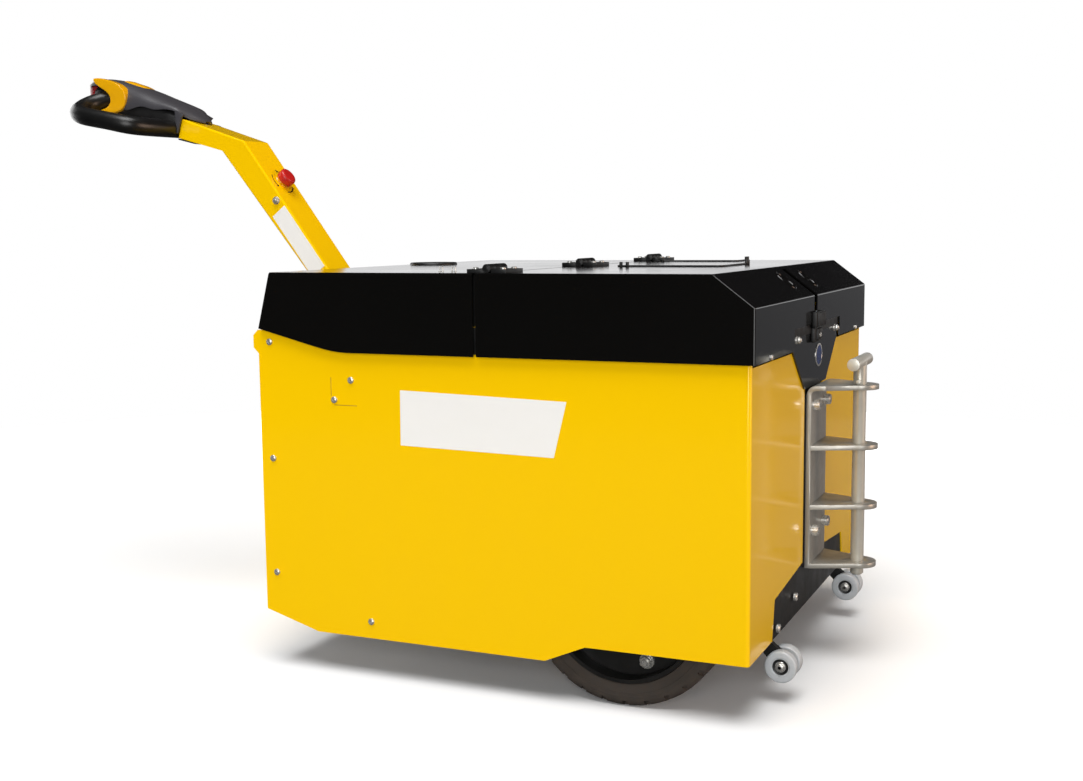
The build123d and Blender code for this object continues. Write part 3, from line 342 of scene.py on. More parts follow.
def roundEdges(bm, width, segments=2, angle=30):
    bmesh.ops.recalc_face_normals(bm, faces=bm.faces)
    edges = [edge for edge in bm.edges
             if len(edge.link_faces) == 2 and edge.calc_face_angle() > radians(angle)]
    bmesh.ops.bevel(bm, geom=edges, offset=width * mm, offset_type="OFFSET", segments=segments,
                    profile=0.5, affect="EDGES", clamp_overlap=True, material=-1)
    return bm


def boxShape(low, high, rounding):
    low, high = Vector(low), Vector(high)
    size = high - low
    bm = bmesh.new()
    bmesh.ops.create_cube(bm, size=1)
    for vert in bm.verts:
        vert.co = Vector([(low + high)[n] / 2 + vert.co[n] * size[n] for n in range(3)]) * mm
    return roundEdges(bm, rounding)


def standing(x, y, z, axis):
    # Upright shapes turned to stand along the axis
    turn = axis.to_track_quat("Z", "Y").to_matrix().to_4x4()
    return Matrix.Translation(Vector((x, y, z)) * mm) @ turn


def facing(place, right, up, outward):
    # Flat shapes laid on a face that is given by its own three directions
    turn = Matrix((right, up, outward)).transposed().to_4x4()
    return Matrix.Translation(Vector(place) * mm) @ turn


def setDown(bm, shape, stand=None, index=0):
    for face in shape.faces:
        face.material_index = index
    if stand is not None:
        bmesh.ops.transform(shape, matrix=stand, verts=shape.verts)
    carried = bpy.data.meshes.new("carried")
    shape.to_mesh(carried)
    shape.free()
    bm.from_mesh(carried)
    bpy.data.meshes.remove(carried)


def addPiece(name, bm, finishNames, replaced=(), body="root", crease=34, skin=0):
    bmesh.ops.recalc_face_normals(bm, faces=bm.faces)
    mesh = bpy.data.meshes.new(name)
    bm.to_mesh(mesh)
    bm.free()
    for each in finishNames:
        mesh.materials.append(finish[each])
    mesh.shade_smooth()
    mesh.set_sharp_from_angle(angle=radians(crease))
    piece = bpy.data.objects.new(name, mesh)
    bpy.context.scene.collection.objects.link(piece)
    if skin:
        smoothing = piece.modifiers.new("smoothSkin", "SUBSURF")
        smoothing.levels = smoothing.render_levels = skin
    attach(piece, body)
    if replaced:
        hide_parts(*replaced)


# Fasteners
def socketHead(radius, height, socket, dome):
    # Turned head with a six-sided socket sunk in its top
    top = height + dome
    bm = turnedShape(((-1, radius), (height - 0.12 * radius, radius), (height, 0.88 * radius),
                      (top, socket)), 24)
    rim = [edge for edge in bm.edges
           if edge.is_boundary and edge.verts[0].co.z > (top - 0.01) * mm]
    hexagon = bmesh.ops.create_circle(bm, segments=6, radius=0.96 * socket * mm,
                                      matrix=Matrix.Translation((0, 0, top * mm)))["verts"]
    inner = [edge for edge in bm.edges if edge.verts[0] in hexagon and edge.verts[1] in hexagon]
    bmesh.ops.bridge_loops(bm, edges=rim + inner)
    sunk = bmesh.ops.extrude_edge_only(bm, edges=inner)["geom"]
    floor = [item for item in sunk if isinstance(item, bmesh.types.BMVert)]
    bmesh.ops.translate(bm, verts=floor, vec=(0, 0, -0.6 * height * mm))
    ahead = Vector((1, 0))
    bm.faces.new(sorted(floor, key=lambda v: ahead.angle_signed(v.co.xy.normalized(), 0)))
    return bm


def hexNut(radius, height, stud, washer):
    # Washer, chamfered hexagon and the stud's end
    bm = turnedShape(((0, washer), (0.18 * height, washer), (0.25 * height, 0.96 * washer),
                      (0.25 * height, 0.2 * washer)), 28)
    nut = bmesh.new()
    bmesh.ops.create_cone(nut, cap_ends=True, segments=6, radius1=radius * mm, radius2=radius * mm,
                          depth=0.75 * height * mm,
                          matrix=Matrix.Translation((0, 0, 0.62 * height * mm)))
    roundEdges(nut, 0.07 * radius, 1)
    setDown(bm, nut)
    setDown(bm, turnedShape(((0.8 * height, stud), (1.25 * height, stud),
                             (1.35 * height, 0.8 * stud), (1.35 * height, 0)), 16))
    return bm


# Tiller head: grey upper shell over a black underbody, a rubber bow and yellow levers
tillerHead = {
    # x, crown z, half width, lower border z of the grey shell
    "shell": (
        (-823, 1068, 13, 1062), (-821, 1072, 22, 1062), (-810, 1076.5, 33, 1064),
        (-790, 1079.5, 41, 1064), (-765, 1078.5, 47, 1061), (-742, 1074, 50, 1052),
        (-725, 1069, 52, 1032), (-711, 1065, 53, 1010), (-700, 1061.5, 54, 1004),
        (-680, 1054.5, 55, 1010), (-660, 1047, 55, 1014), (-643, 1040, 54.5, 1009),
        (-626, 1033.5, 54, 1003), (-604, 1024.5, 53, 1006), (-588, 1018, 51.5, 1003),
        (-576, 1013, 50.5, 1000), (-569, 1008.5, 47, 994), (-561, 1003.5, 39, 988),
        (-552, 997.5, 32, 983), (-543, 991, 25, 980), (-535, 985, 17, 977.5),
        (-530, 981, 10, 976)),
    "shellSquare": 2.7,  # how square the shell's section is; 2 is an ellipse
    "shellWall": 2.6,
    # x, top z, bottom z, half width of the black underbody
    "underbody": (
        (-817, 1062, 1042, 13), (-811, 1068, 1028, 24), (-796, 1071, 1008, 35),
        (-776, 1071, 990, 43), (-740, 1064, 972, 48.5), (-690, 1048, 962, 51),
        (-650, 1036, 957, 51.5), (-612, 1020, 950, 50.5), (-586, 1008, 946, 49),
        (-577, 1002, 944.5, 47.5), (-570, 990, 944, 45.5)),
    "underbodyPower": 0.75,  # under 1 its section is squarer than an ellipse
    "leanFrom": -580, "lean": 0.27,  # the front end leans with the arm's cut end
    # thin lip that runs on under the arm
    "lip": ((-580, -40, 943), (-580, 40, 943), (-546, 30, 933.6), (-546, -30, 933.6)),
    "lipThickness": 3.5,
    # x, distance from the middle, z of the rubber bow
    "bow": (
        (-590, 30, 966), (-596, 84, 965.5), (-606, 136, 965.5), (-630, 148, 970.5),
        (-668, 148, 979), (-710, 147, 986), (-744, 139, 993), (-770, 118, 1001),
        (-784, 92, 1010), (-785, 70, 1020), (-775, 52, 1028), (-758, 34, 1034)),
    "bowRadius": 18.2,
    # the crescent's outer and inner line in x, z, from the beak to the lower tip
    "leverOuter": (
        (-780, 1076.5), (-765, 1077.3), (-742, 1071.5), (-718, 1063.5), (-703, 1052),
        (-696, 1036), (-698.5, 1019.5), (-708, 1009), (-722, 1004), (-742, 1002.5),
        (-763, 1004), (-781, 1007)),
    "leverInner": (
        (-781, 1070), (-773, 1063), (-762, 1056), (-750, 1049.5), (-741, 1042),
        (-736.5, 1033), (-738, 1024), (-743, 1018), (-750, 1014), (-759, 1011.5),
        (-769, 1010), (-782, 1010)),
    "leverFaces": (38, 58),  # inner and outer face from the middle
    "leverRounding": 3.5,
}


def squared(share, power):
    # Moves a point of the unit circle outwards and keeps its side
    return copysign(abs(share) ** power, share)


def makePodShell(look):
    rows, power = look["shell"], 2 / look["shellSquare"]
    last = len(rows) - 1
    bm = bmesh.new()
    bmesh.ops.create_grid(bm, x_segments=last, y_segments=18, size=1)
    for vert in bm.verts:
        x, crown, halfWidth, border = rows[round((vert.co.x + 1) / 2 * last)]
        turn = (vert.co.y + 1) / 2 * pi
        vert.co = Vector((x, halfWidth * squared(cos(turn), power),
                          border + (crown - border) * squared(sin(turn), power))) * mm
    # Close the blunt rear end behind the red pad
    rearEnd = (rows[0][0] + 0.5) * mm
    rim = [edge for edge in bm.edges
           if edge.is_boundary and all(v.co.x < rearEnd for v in edge.verts)]
    bmesh.ops.contextual_create(bm, geom=rim)
    bmesh.ops.recalc_face_normals(bm, faces=bm.faces)
    if sum(face.normal.z for face in bm.faces) < 0:
        bmesh.ops.reverse_faces(bm, faces=bm.faces)
    bmesh.ops.solidify(bm, geom=bm.faces, thickness=look["shellWall"] * mm)
    addPiece("podShell", bm, ["podShell"], ["tiller_pod"], crease=50, skin=1)


def makePodUnderbody(look):
    bm = bmesh.new()
    rings = []
    for x, top, bottom, halfWidth in look["underbody"]:
        ring = bmesh.ops.create_circle(bm, segments=28, radius=1)["verts"]
        middle, half = (top + bottom) / 2, (top - bottom) / 2
        lean = look["lean"] if x > look["leanFrom"] else 0.0
        for vert in ring:
            y = halfWidth * squared(vert.co.x, look["underbodyPower"])
            z = half * squared(vert.co.y, look["underbodyPower"])
            vert.co = Vector((x + lean * z, y, middle + z)) * mm
        rings.append([edge for edge in bm.edges if edge.verts[0] in ring and edge.verts[1] in ring])
    for near, far in zip(rings, rings[1:]):
        bmesh.ops.bridge_loops(bm, edges=near + far)
    bmesh.ops.holes_fill(bm, edges=bm.edges)
    setDown(bm, roundEdges(slabShape(look["lip"], (0, 0, look["lipThickness"])), 1.2))
    addPiece("podUnderbody", bm, ["mouldedNylon"], crease=50, skin=1)


def makeGripBow(look):
    bm = bmesh.new()
    for side in (-1, 1):
        path = bpy.data.curves.new("bowPath", "CURVE")
        path.dimensions = "3D"
        path.resolution_u = 8
        path.bevel_depth = look["bowRadius"] * mm
        path.bevel_resolution = 8
        path.use_fill_caps = True
        line = path.splines.new("NURBS")
        line.points.add(len(look["bow"]) - 1)
        for point, (x, reach, z) in zip(line.points, look["bow"]):
            point.co = (x * mm, side * reach * mm, z * mm, 1)
        line.order_u = 4
        line.use_endpoint_u = True
        holder = bpy.data.objects.new("bowPath", path)
        tube = bpy.data.meshes.new_from_object(holder)
        bm.from_mesh(tube)
        bpy.data.objects.remove(holder)
        bpy.data.meshes.remove(tube)
    bmesh.ops.remove_doubles(bm, verts=bm.verts, dist=0.01 * mm)
    addPiece("gripBow", bm, ["gripSkin"], ["grip_bow"], crease=60)


def makeLevers(look):
    bm = bmesh.new()
    inner, outer = look["leverFaces"]
    for side in (-1, 1):
        shape = bmesh.new()
        lines = []
        for row in (look["leverOuter"], look["leverInner"]):
            points = [shape.verts.new(Vector((x, side * inner, z)) * mm) for x, z in row]
            lines += [shape.edges.new(pair) for pair in zip(points, points[1:])]
        bmesh.ops.bridge_loops(shape, edges=lines)
        pushOut(shape, list(shape.faces), (0, side * (outer - inner), 0))
        setDown(bm, roundEdges(shape, look["leverRounding"], angle=60))
    addPiece("thumbLevers", bm, ["leverPlastic"], ["thumb_levers"],
             crease=180, skin=2)


# Details on the tiller head
headDetails = {
    # driver's pad at the rear tip; the crown is how far its ends fall back
    "padPlace": (-828, 1058), "padSize": (14, 58, 25), "padCrown": 28, "padRounding": 3,
    # rocker let into the shell's crown, with its half length and half width
    "rockerX": -710, "rockerReach": (36, 19), "rockerNarrowing": 0.25,
    "rockerCrown": 1064.2, "rockerSlope": 12.2, "rockerSag": (1.6, 2.2),
    "rockerSunk": 2, "rockerBulge": 5.5, "rockerWall": 3,
    # x, z of the grey tongues that run down the arm's end
    "tongue": ((-579, 1004), (-556, 992), (-563, 986), (-573, 955), (-577, 957)),
    "tongueFace": 45, "tongueThickness": 4.5,
}


def makeRearPad(look):
    (padX, padZ), (depth, width, height) = look["padPlace"], look["padSize"]
    bm = bmesh.new()
    bmesh.ops.create_cube(bm, size=1)
    bmesh.ops.subdivide_edges(bm, edges=bm.edges, cuts=6, use_grid_fill=True)
    for vert in bm.verts:
        back = look["padCrown"] * (2 * vert.co.y) ** 2
        vert.co = Vector((padX + depth * vert.co.x + back, width * vert.co.y,
                          padZ + height * vert.co.z)) * mm
    roundEdges(bm, look["padRounding"], angle=60)
    # the pad's red is darkened as painted shade
    addPiece("rearPad", bm, ["shadedPadRed"], ["rear_button"])


def makeRocker(look):
    (halfLength, halfWidth), (sagAlong, sagAcross) = look["rockerReach"], look["rockerSag"]
    bm = bmesh.new()
    bmesh.ops.create_grid(bm, x_segments=12, y_segments=8, size=1)
    for vert in bm.verts:
        along, across = vert.co.x, vert.co.y
        bulge = look["rockerBulge"] * max(0.0, 1 - along ** 4) * max(0.0, 1 - across ** 4)
        shell = (look["rockerCrown"] - look["rockerSlope"] * along
                 - sagAlong * along ** 2 - sagAcross * across ** 2)
        narrow = 1 - look["rockerNarrowing"] * along ** 2
        vert.co = Vector((look["rockerX"] + halfLength * along, halfWidth * narrow * across,
                          shell - look["rockerSunk"] + bulge)) * mm
    bmesh.ops.solidify(bm, geom=bm.faces, thickness=look["rockerWall"] * mm)
    addPiece("crownRocker", bm, ["leverPlastic"], crease=50, skin=1)


def makeTongues(look):
    bm = bmesh.new()
    for side in (-1, 1):
        tongue = slabShape([(x, side * look["tongueFace"], z) for x, z in look["tongue"]],
                           (0, side * look["tongueThickness"], 0))
        setDown(bm, roundEdges(tongue, 1.2))
    addPiece("podTongues", bm, ["podShell"])


makePodShell(tillerHead)
makePodUnderbody(tillerHead)
makeGripBow(tillerHead)
makeLevers(tillerHead)
makeRearPad(headDetails)
makeRocker(headDetails)
makeTongues(headDetails)
print("tiller head made")


# Drive wheels; heights run along the axle from the tyre's inner face
driveWheel = {
    "axleX": 520, "axleZ": 168,
    "innerFace": 301,
    "tyre": (
        (8, 129), (3, 131), (1.5, 138), (0, 148), (1.2, 158), (4, 164), (9, 167), (14, 168),
        (20, 168), (20.6, 163.5), (25.4, 163.5), (26, 168), (39, 168), (39.6, 163.5),
        (44.4, 163.5), (45, 168), (58, 168), (58.6, 163.5), (63.4, 163.5), (64, 168), (70, 168),
        (75, 167), (80, 164), (82.8, 158), (84, 148), (82.5, 138), (81, 131), (76, 129)),
    "sidewallRings": ((84.2, 146), (84.0, 151)),
    "ring": ((-1.5, -1.4), (0, -0.7), (0, 0.7), (-1.5, 1.4)),
    "treadSteps": 112,
    "shoulders": (14, 70),  # notches lie outside these heights
    "notchRadius": 158, "notchDepth": 4.5, "notchEvery": 4,
    "discFace": 355,
    "nutCircle": 103, "nutCount": 5, "firstNut": -72,  # degrees from straight ahead of the axle
    "nut": (10, 11, 6, 12.5),
    "hubCap": ((0, 34), (10, 34), (14, 30), (18, 16), (19, 0)), "hubCapLift": 6,
}


def makeDriveWheels(look):
    x, z, steps = look["axleX"], look["axleZ"], look["treadSteps"]
    low, high = look["shoulders"]
    for label, side in (("right", -1), ("left", 1)):
        stand = standing(x, side * look["innerFace"], z, side * yAxis)
        tyre = turnedShape(look["tyre"], steps)
        bmesh.ops.recalc_face_normals(tyre, faces=tyre.faces)
        # Notches bitten out of both shoulders
        notches = []
        for face in tyre.faces:
            middle = face.calc_center_median() / mm
            step = int((middle.xy.angle_signed(Vector((1, 0))) + pi) / (2 * pi) * steps)
            if (middle.xy.length > look["notchRadius"] and not low <= middle.z <= high
                    and step % look["notchEvery"] == 0):
                notches.append(face)
        bmesh.ops.inset_region(tyre, faces=notches, thickness=0.6 * mm,
                               depth=-look["notchDepth"] * mm, use_even_offset=True)
        bm = bmesh.new()
        setDown(bm, tyre, stand)
        for height, radius in look["sidewallRings"]:
            ring = [(height + up, radius + out) for up, out in look["ring"]]
            setDown(bm, turnedShape(ring, 96), stand)
        body = "drive_wheel_" + label
        addPiece("treadedTyre_" + label, bm, ["dustyTyre"], ["drive_tyre_" + label],
                 body, crease=40)
        bm = bmesh.new()
        for count in range(look["nutCount"]):
            turn = radians(look["firstNut"] + 360 / look["nutCount"] * count)
            setDown(bm, hexNut(*look["nut"]), standing(
                x + look["nutCircle"] * cos(turn), side * look["discFace"],
                z + look["nutCircle"] * sin(turn), side * yAxis))
        setDown(bm, turnedShape(look["hubCap"]),
                standing(x, side * (look["discFace"] + look["hubCapLift"]), z, side * yAxis))
        addPiece("wheelNuts_" + label, bm, ["stainless"], body=body)


# Guide rollers, in pairs with a gap between the two
roller = {
    "x": 748, "z": 61, "middle": 258, "gap": 13,
    # nylon tread with a groove in its face, black bearing shield and the screw's plate
    "turned": (
        ((0.5, 13), (0.5, 23.3), (2.5, 25.2), (6.5, 25.8), (7.2, 25.1), (8, 25.8), (15.5, 25.8),
         (17.5, 24), (18, 21.8), (17.7, 15.5), (16.2, 14.5), (16, 13)),
        ((0, 5), (0, 12.9), (1, 13.4), (15, 13.4), (15.8, 12.8), (14.5, 9.5), (14.5, 4)),
        ((14.6, 8.6), (16, 8.6), (16.4, 8.2), (16.4, 3))),
    "steps": (48, 32, 24),
    "screw": (6.4, 4.4, 3.2, 0.6), "screwLift": 16.3,
}


def makeRollers(look):
    x, z, half = look["x"], look["z"], look["gap"] / 2
    for label, side in (("right", -1), ("left", 1)):
        bm = bmesh.new()
        for way in (-1, 1):
            inner = side * look["middle"] + way * half
            for index, profile in enumerate(look["turned"]):
                setDown(bm, turnedShape(profile, look["steps"][index]),
                        standing(x, inner, z, way * yAxis), index)
            setDown(bm, socketHead(*look["screw"]),
                    standing(x, inner + way * look["screwLift"], z, way * yAxis), 2)
        addPiece("guideRollers_" + label, bm, ["rollerNylon", "mouldedNylon", "stainless"],
                 ["roller_treads_" + label, "roller_hubs_" + label],
                 "guide_rollers_" + label)


makeDriveWheels(driveWheel)
makeRollers(roller)
print("wheels and rollers made")


# Stop button: red mushroom on a yellow collar, with plain turning marks round it
stopButton = {
    "foot": (-354.3, 0, 853.7),
    "along": (-278, 0, 373.7),  # way up the arm
    "collar": ((-2, 16.5), (1.4, 16.5), (2.2, 15.8), (2.2, 13.5), (5.5, 13), (6, 10)),
    "cap": ((5.8, 0), (5.8, 16), (6.6, 17.6), (9, 18), (17.5, 18), (19.8, 17.4), (21.4, 15.8),
            (22.2, 13.6), (22.6, 11), (22.2, 7), (22.0, 0)),
    "markStarts": (20, 140, 260),
    # turn from the start, sweep, inner and outer radius of the arc and of its head
    "mark": ((0, 62, 25.5, 28), (62, 5, 23.3, 30.2)),
    "markHeight": 0.25,
}


def makeStopButton(look):
    along = Vector(look["along"]).normalized()
    stand = facing(look["foot"], yAxis, along, Vector((along.z, 0, -along.x)))
    bm = bmesh.new()
    setDown(bm, turnedShape(look["collar"]), stand, 1)
    setDown(bm, turnedShape(look["cap"], 48), stand)
    addPiece("stopMushroom", bm, ["buttonRed", "leverPlastic"], ["stop_button"])
    bm = bmesh.new()
    for start in look["markStarts"]:
        for turn, sweep, low, high in look["mark"]:
            arc = bmesh.new()
            corners = ((0, low), (look["markHeight"], low), (look["markHeight"], high), (0, high))
            ring = [arc.verts.new((radius * mm, 0, height * mm)) for height, radius in corners]
            edges = [arc.edges.new(pair) for pair in zip(ring, ring[1:] + ring[:1])]
            last = bmesh.ops.spin(arc, geom=ring + edges, cent=(0, 0, 0), axis=(0, 0, 1),
                                  angle=radians(sweep), steps=max(1, sweep // 6))["geom_last"]
            bmesh.ops.contextual_create(arc, geom=[
                item for item in last if isinstance(item, bmesh.types.BMEdge)])
            setDown(bm, arc, stand @ Matrix.Rotation(radians(start + turn), 4, "Z"))
    addPiece("turningMarks", bm, ["mouldedNylon"])


makeStopButton(stopButton)
print("stop button made")


# Blank labels in white vinyl: distance from the middle and x, z corners
labels = {
    "plates": (
        (415.9, ((148, 494), (442, 487), (420, 398), (147, 403))),  # on the side panels
        (42.4, ((-351, 783), (-322, 805), (-232, 685), (-261, 663)))),  # on the arm's sides
    "thickness": 0.35, "rounding": 0.15,
}


def makeLabels(look):
    bm = bmesh.new()
    for side in (-1, 1):
        for face, corners in look["plates"]:
            plate = slabShape([(x, side * face, z) for x, z in corners],
                              (0, side * look["thickness"], 0))
            setDown(bm, roundEdges(plate, look["rounding"], 1))
    addPiece("blankLabels", bm, ["blankVinyl"])


makeLabels(labels)


# Fasteners that hold the sheet metal, mirrored to both sides
fasteners = {
    # radius, height, socket and dome of the screws
    "panelScrew": (5.6, 2.6, 2.6, 0.9), "lowScrew": (7, 4, 3.4, 1.4), "frontScrew": (4, 3, 2, 0.6),
    # radius, height, stud and washer of the nuts
    "frontNut": (5.8, 7, 3.6, 6.6), "armNut": (7, 5, 3.5, 8),
    # x, z on the side panels and on the arm
    "sideFace": 416,
    "side": ((-104, 567), (-104, 367), (-104, 167), (55, 507), (22, 473), (83, 99)),
    "armFace": 42.4,
    "arm": ((-341, 815),),
    # shape and its size, x of the face and its direction, then y, z of each
    "ends": (
        (hexNut, "frontNut", 736.4, xAxis, ((150, 569),)),
        (socketHead, "lowScrew", 735, xAxis, ((130, 135), (248, 114))),
        (socketHead, "frontScrew", 740.6, xAxis, ((330, 557),)),
        (socketHead, "panelScrew", -127, -xAxis, (
            (392, 560), (392, 360), (392, 160), (150, 560), (150, 160)))),
}


def makeFasteners(look):
    bm = bmesh.new()
    for side in (-1, 1):
        for x, z in look["side"]:
            setDown(bm, socketHead(*look["panelScrew"]),
                    standing(x, side * look["sideFace"], z, side * yAxis))
        for shape, size, x, axis, places in look["ends"]:
            for y, z in places:
                setDown(bm, shape(*look[size]), standing(x, side * y, z, axis))
        for x, z in look["arm"]:
            setDown(bm, hexNut(*look["armNut"]),
                    standing(x, side * look["armFace"], z, side * yAxis))
    addPiece("panelScrews", bm, ["stainless"])


makeFasteners(fasteners)
print("labels and fasteners laid")


def mergedCopy(nodeName):
    bm = bmesh.new()
    bm.from_mesh(nodes[nodeName].data)
    bmesh.ops.transform(bm, matrix=nodes[nodeName].matrix_world, verts=bm.verts)
    bmesh.ops.remove_doubles(bm, verts=bm.verts, dist=0.01 * mm)
    bmesh.ops.dissolve_limit(bm, angle_limit=radians(1), verts=bm.verts, edges=bm.edges)
    return bm


# Steel and mouldings that keep their CAD form, with their sharp edges broken
softened = {
    # node: rounding, finish, slot, and its body where it moves
    "hitch_bracket": (1.2, "zincPlate", "zinc"),
    "hitch_pin": (1.6, "drawnSteel", "zinc", "pin"),
    "hinge_rear_leaves": (0.8, "mouldedNylon", "moulded_black"),
    "hinge_lid_leaves": (0.8, "mouldedNylon", "moulded_black", "lid"),
    "lid_rails": (0.5, "mouldedNylon", "moulded_black", "lid"),
    "arm_bracket": (1.5, "chassisPaint", "frame_black"),
    "castor_fork": (1.5, "zincPlate", "zinc", "castor"),
    "castor_mount": (1.2, "zincPlate", "zinc"),
    "drive_unit": (3.0, "castingEnamel", "drive_grey"),
}


def softCopy(nodeName, rounding, finishName, slotName, body="root"):
    bm = roundEdges(mergedCopy(nodeName), rounding, angle=28)
    addPiece("soft_" + nodeName, bm, [finishName], [nodeName], body)


for nodeName, copyLook in softened.items():
    softCopy(nodeName, *copyLook)


# The covers' sheet, with its outer edges rounded so that they catch the light
folds = {
    "radius": 2.0,
    "narrowest": 8,  # edges of faces narrower than this stay as they are
    "sharpest": 20,  # degrees; flatter edges stay as they are
}


def edgedCopy(nodeName, body, look):
    bm = mergedCopy(nodeName)
    bmesh.ops.recalc_face_normals(bm, faces=bm.faces)
    across = {face: face.calc_area() / max(edge.calc_length() for edge in face.edges)
              for face in bm.faces}
    outer = [edge for edge in bm.edges if len(edge.link_faces) == 2 and edge.is_convex
             and edge.calc_face_angle() > radians(look["sharpest"])
             and min(across[face] for face in edge.link_faces) > look["narrowest"] * mm]
    bmesh.ops.bevel(bm, geom=outer, offset=look["radius"] * mm, offset_type="OFFSET", segments=3,
                    profile=0.5, affect="EDGES", clamp_overlap=True, material=-1)
    addPiece("edged_" + nodeName, bm, ["powderCoatBlack"], [nodeName], body,
             crease=10)


edgedCopy("lid_shell", "lid", folds)
edgedCopy("rear_cover", "root", folds)


# Socket screws of the hitch, with a fine knurl round each head
hitch = {
    "face": 743, "screwY": 42, "screwZ": (232.0, 450.1),
    "headRadius": 9, "headLength": 12, "socket": 5.2, "dome": 0.4,
    "ribs": 28, "ribHalf": 0.45, "ribSpan": (1.6, 9.4), "ribSunk": 0.12,
}


def makeHitchScrews(look):
    half, (low, high) = look["ribHalf"], look["ribSpan"]
    lift = Matrix.Translation((0, (look["headRadius"] - look["ribSunk"]) * mm, 0))
    bm = bmesh.new()
    for side in (-1, 1):
        for z in look["screwZ"]:
            stand = standing(look["face"], side * look["screwY"], z, xAxis)
            setDown(bm, socketHead(look["headRadius"], look["headLength"], look["socket"],
                                   look["dome"]), stand)
            for count in range(look["ribs"]):
                rib = slabShape(((-half, 0, low), (half, 0, low), (half, 0, high),
                                 (-half, 0, high)), (0, half, 0))
                turn = Matrix.Rotation(2 * pi * count / look["ribs"], 4, "Z")
                setDown(bm, rib, stand @ turn @ lift)
    addPiece("hitchScrews", bm, ["stainless"], ["hitch_screws"])


makeHitchScrews(hitch)
print("hitch softened")


# Lid furniture
lidFurniture = {
    "hingeY": (-385, 0, 385), "hingeScrewY": 20, "leafTop": 691,
    "leafScrews": (("rearLeafScrews", 284, "root"), ("lidLeafScrews", 332, "lid")),
    "leafScrew": (4.6, 2.4, 2.2, 0.5),
    # x, y of the paired pins on the rear cover
    "pins": ((192, -354), (197.5, -354), (214, -352), (220, -352)), "coverTop": 685,
    "pin": ((0, 1.9), (0.8, 1.9), (1.0, 1.1), (7.6, 1.1), (8.4, 0.6), (8.5, 0)),
    # x and y of each bead on the sloping front, its length and width
    "beads": ((706, -98, 44, 30), (708, 51, 46, 26)),
    "bead": ((-1.0, 0.80), (0.7, 0.86), (1.2, 0.93), (0.7, 1.0), (-1.0, 1.06)),
    "slopeTop": (678, 685), "slopeFoot": (741, 637),  # x, z
}


def makeLidFurniture(look):
    for name, x, body in look["leafScrews"]:
        bm = bmesh.new()
        for y in look["hingeY"]:
            for side in (-1, 1):
                setDown(bm, socketHead(*look["leafScrew"]), standing(
                    x, y + side * look["hingeScrewY"], look["leafTop"], zAxis))
        addPiece(name, bm, ["stainless"], body=body)
    bm = bmesh.new()
    for x, y in look["pins"]:
        setDown(bm, turnedShape(look["pin"], 12), standing(x, y, look["coverTop"], zAxis))
    addPiece("coverPins", bm, ["stainless"])
    # Raised beads pressed out of the sloping sheet
    top, foot = Vector(look["slopeTop"]), Vector(look["slopeFoot"])
    along = Vector((foot.x - top.x, 0, foot.y - top.y)).normalized()
    bm = bmesh.new()
    for x, y, length, width in look["beads"]:
        z = top.y + (x - top.x) / (foot.x - top.x) * (foot.y - top.y)
        bead = turnedShape(look["bead"])
        bmesh.ops.scale(bead, vec=(length / 2, width / 2, 1), verts=bead.verts)
        setDown(bm, bead, facing((x, y, z), along, yAxis, Vector((-along.z, 0, along.x))))
    addPiece("pressedBeads", bm, ["powderCoatBlack"], body="lid")


# Rubber latch: ribbed handle on the lid, keeper with its rivet on the vee plate
latch = {
    # low corner, high corner and rounding of each block
    "handle": ((741, -55, 582), (749.5, 12, 609), 2),
    "firstRib": ((747.5, -49, 584), (752.5, -45, 607), 1.2), "ribCount": 9, "ribPitch": 6.375,
    "keeper": ((736.5, -45, 556), (744, 5, 582), 2),
    "keeperBoss": ((736.5, -31, 559), (748, 1, 580), 2.4),
    "rivet": (748, -23, 569), "rivetHead": ((-1, 4.2), (1.2, 4.2), (2.4, 3.2), (3, 0)),
}


def makeLatch(look):
    low, high, rounding = look["firstRib"]
    bm = bmesh.new()
    setDown(bm, boxShape(*look["handle"]))
    for count in range(look["ribCount"]):
        along = count * look["ribPitch"] * yAxis
        setDown(bm, boxShape(Vector(low) + along, Vector(high) + along, rounding))
    addPiece("latchHandle", bm, ["sealRubber"], ["lid_latch"], "lid")
    bm = bmesh.new()
    setDown(bm, boxShape(*look["keeper"]))
    setDown(bm, boxShape(*look["keeperBoss"]))
    setDown(bm, turnedShape(look["rivetHead"], 20), standing(*look["rivet"], xAxis), 1)
    addPiece("latchKeeper", bm, ["sealRubber", "stainless"], ["latch_keeper"])


# Bare oval plate with a bright rim
badge = {
    "middle": (736.4, 22, 530), "halfWidth": 26, "halfHeight": 20,
    "plate": ((0, 1), (1.0, 1), (1.3, 0.93), (1.3, 0.86), (0.9, 0.84), (0.9, 0)),
    "field": 0.82,  # share of the plate inside its rim, in enamel
}


def makeBadge(look):
    bm = turnedShape(look["plate"], 48)
    for face in bm.faces:
        face.material_index = face.calc_center_median().xy.length < look["field"] * mm
    bmesh.ops.scale(bm, vec=(look["halfWidth"], look["halfHeight"], 1), verts=bm.verts)
    bmesh.ops.transform(bm, matrix=facing(look["middle"], yAxis, zAxis, xAxis), verts=bm.verts)
    addPiece("ovalBadge", bm, ["stainless", "badgeBlue"])


makeLidFurniture(lidFurniture)
makeLatch(latch)
makeBadge(badge)
print("lid furniture made")


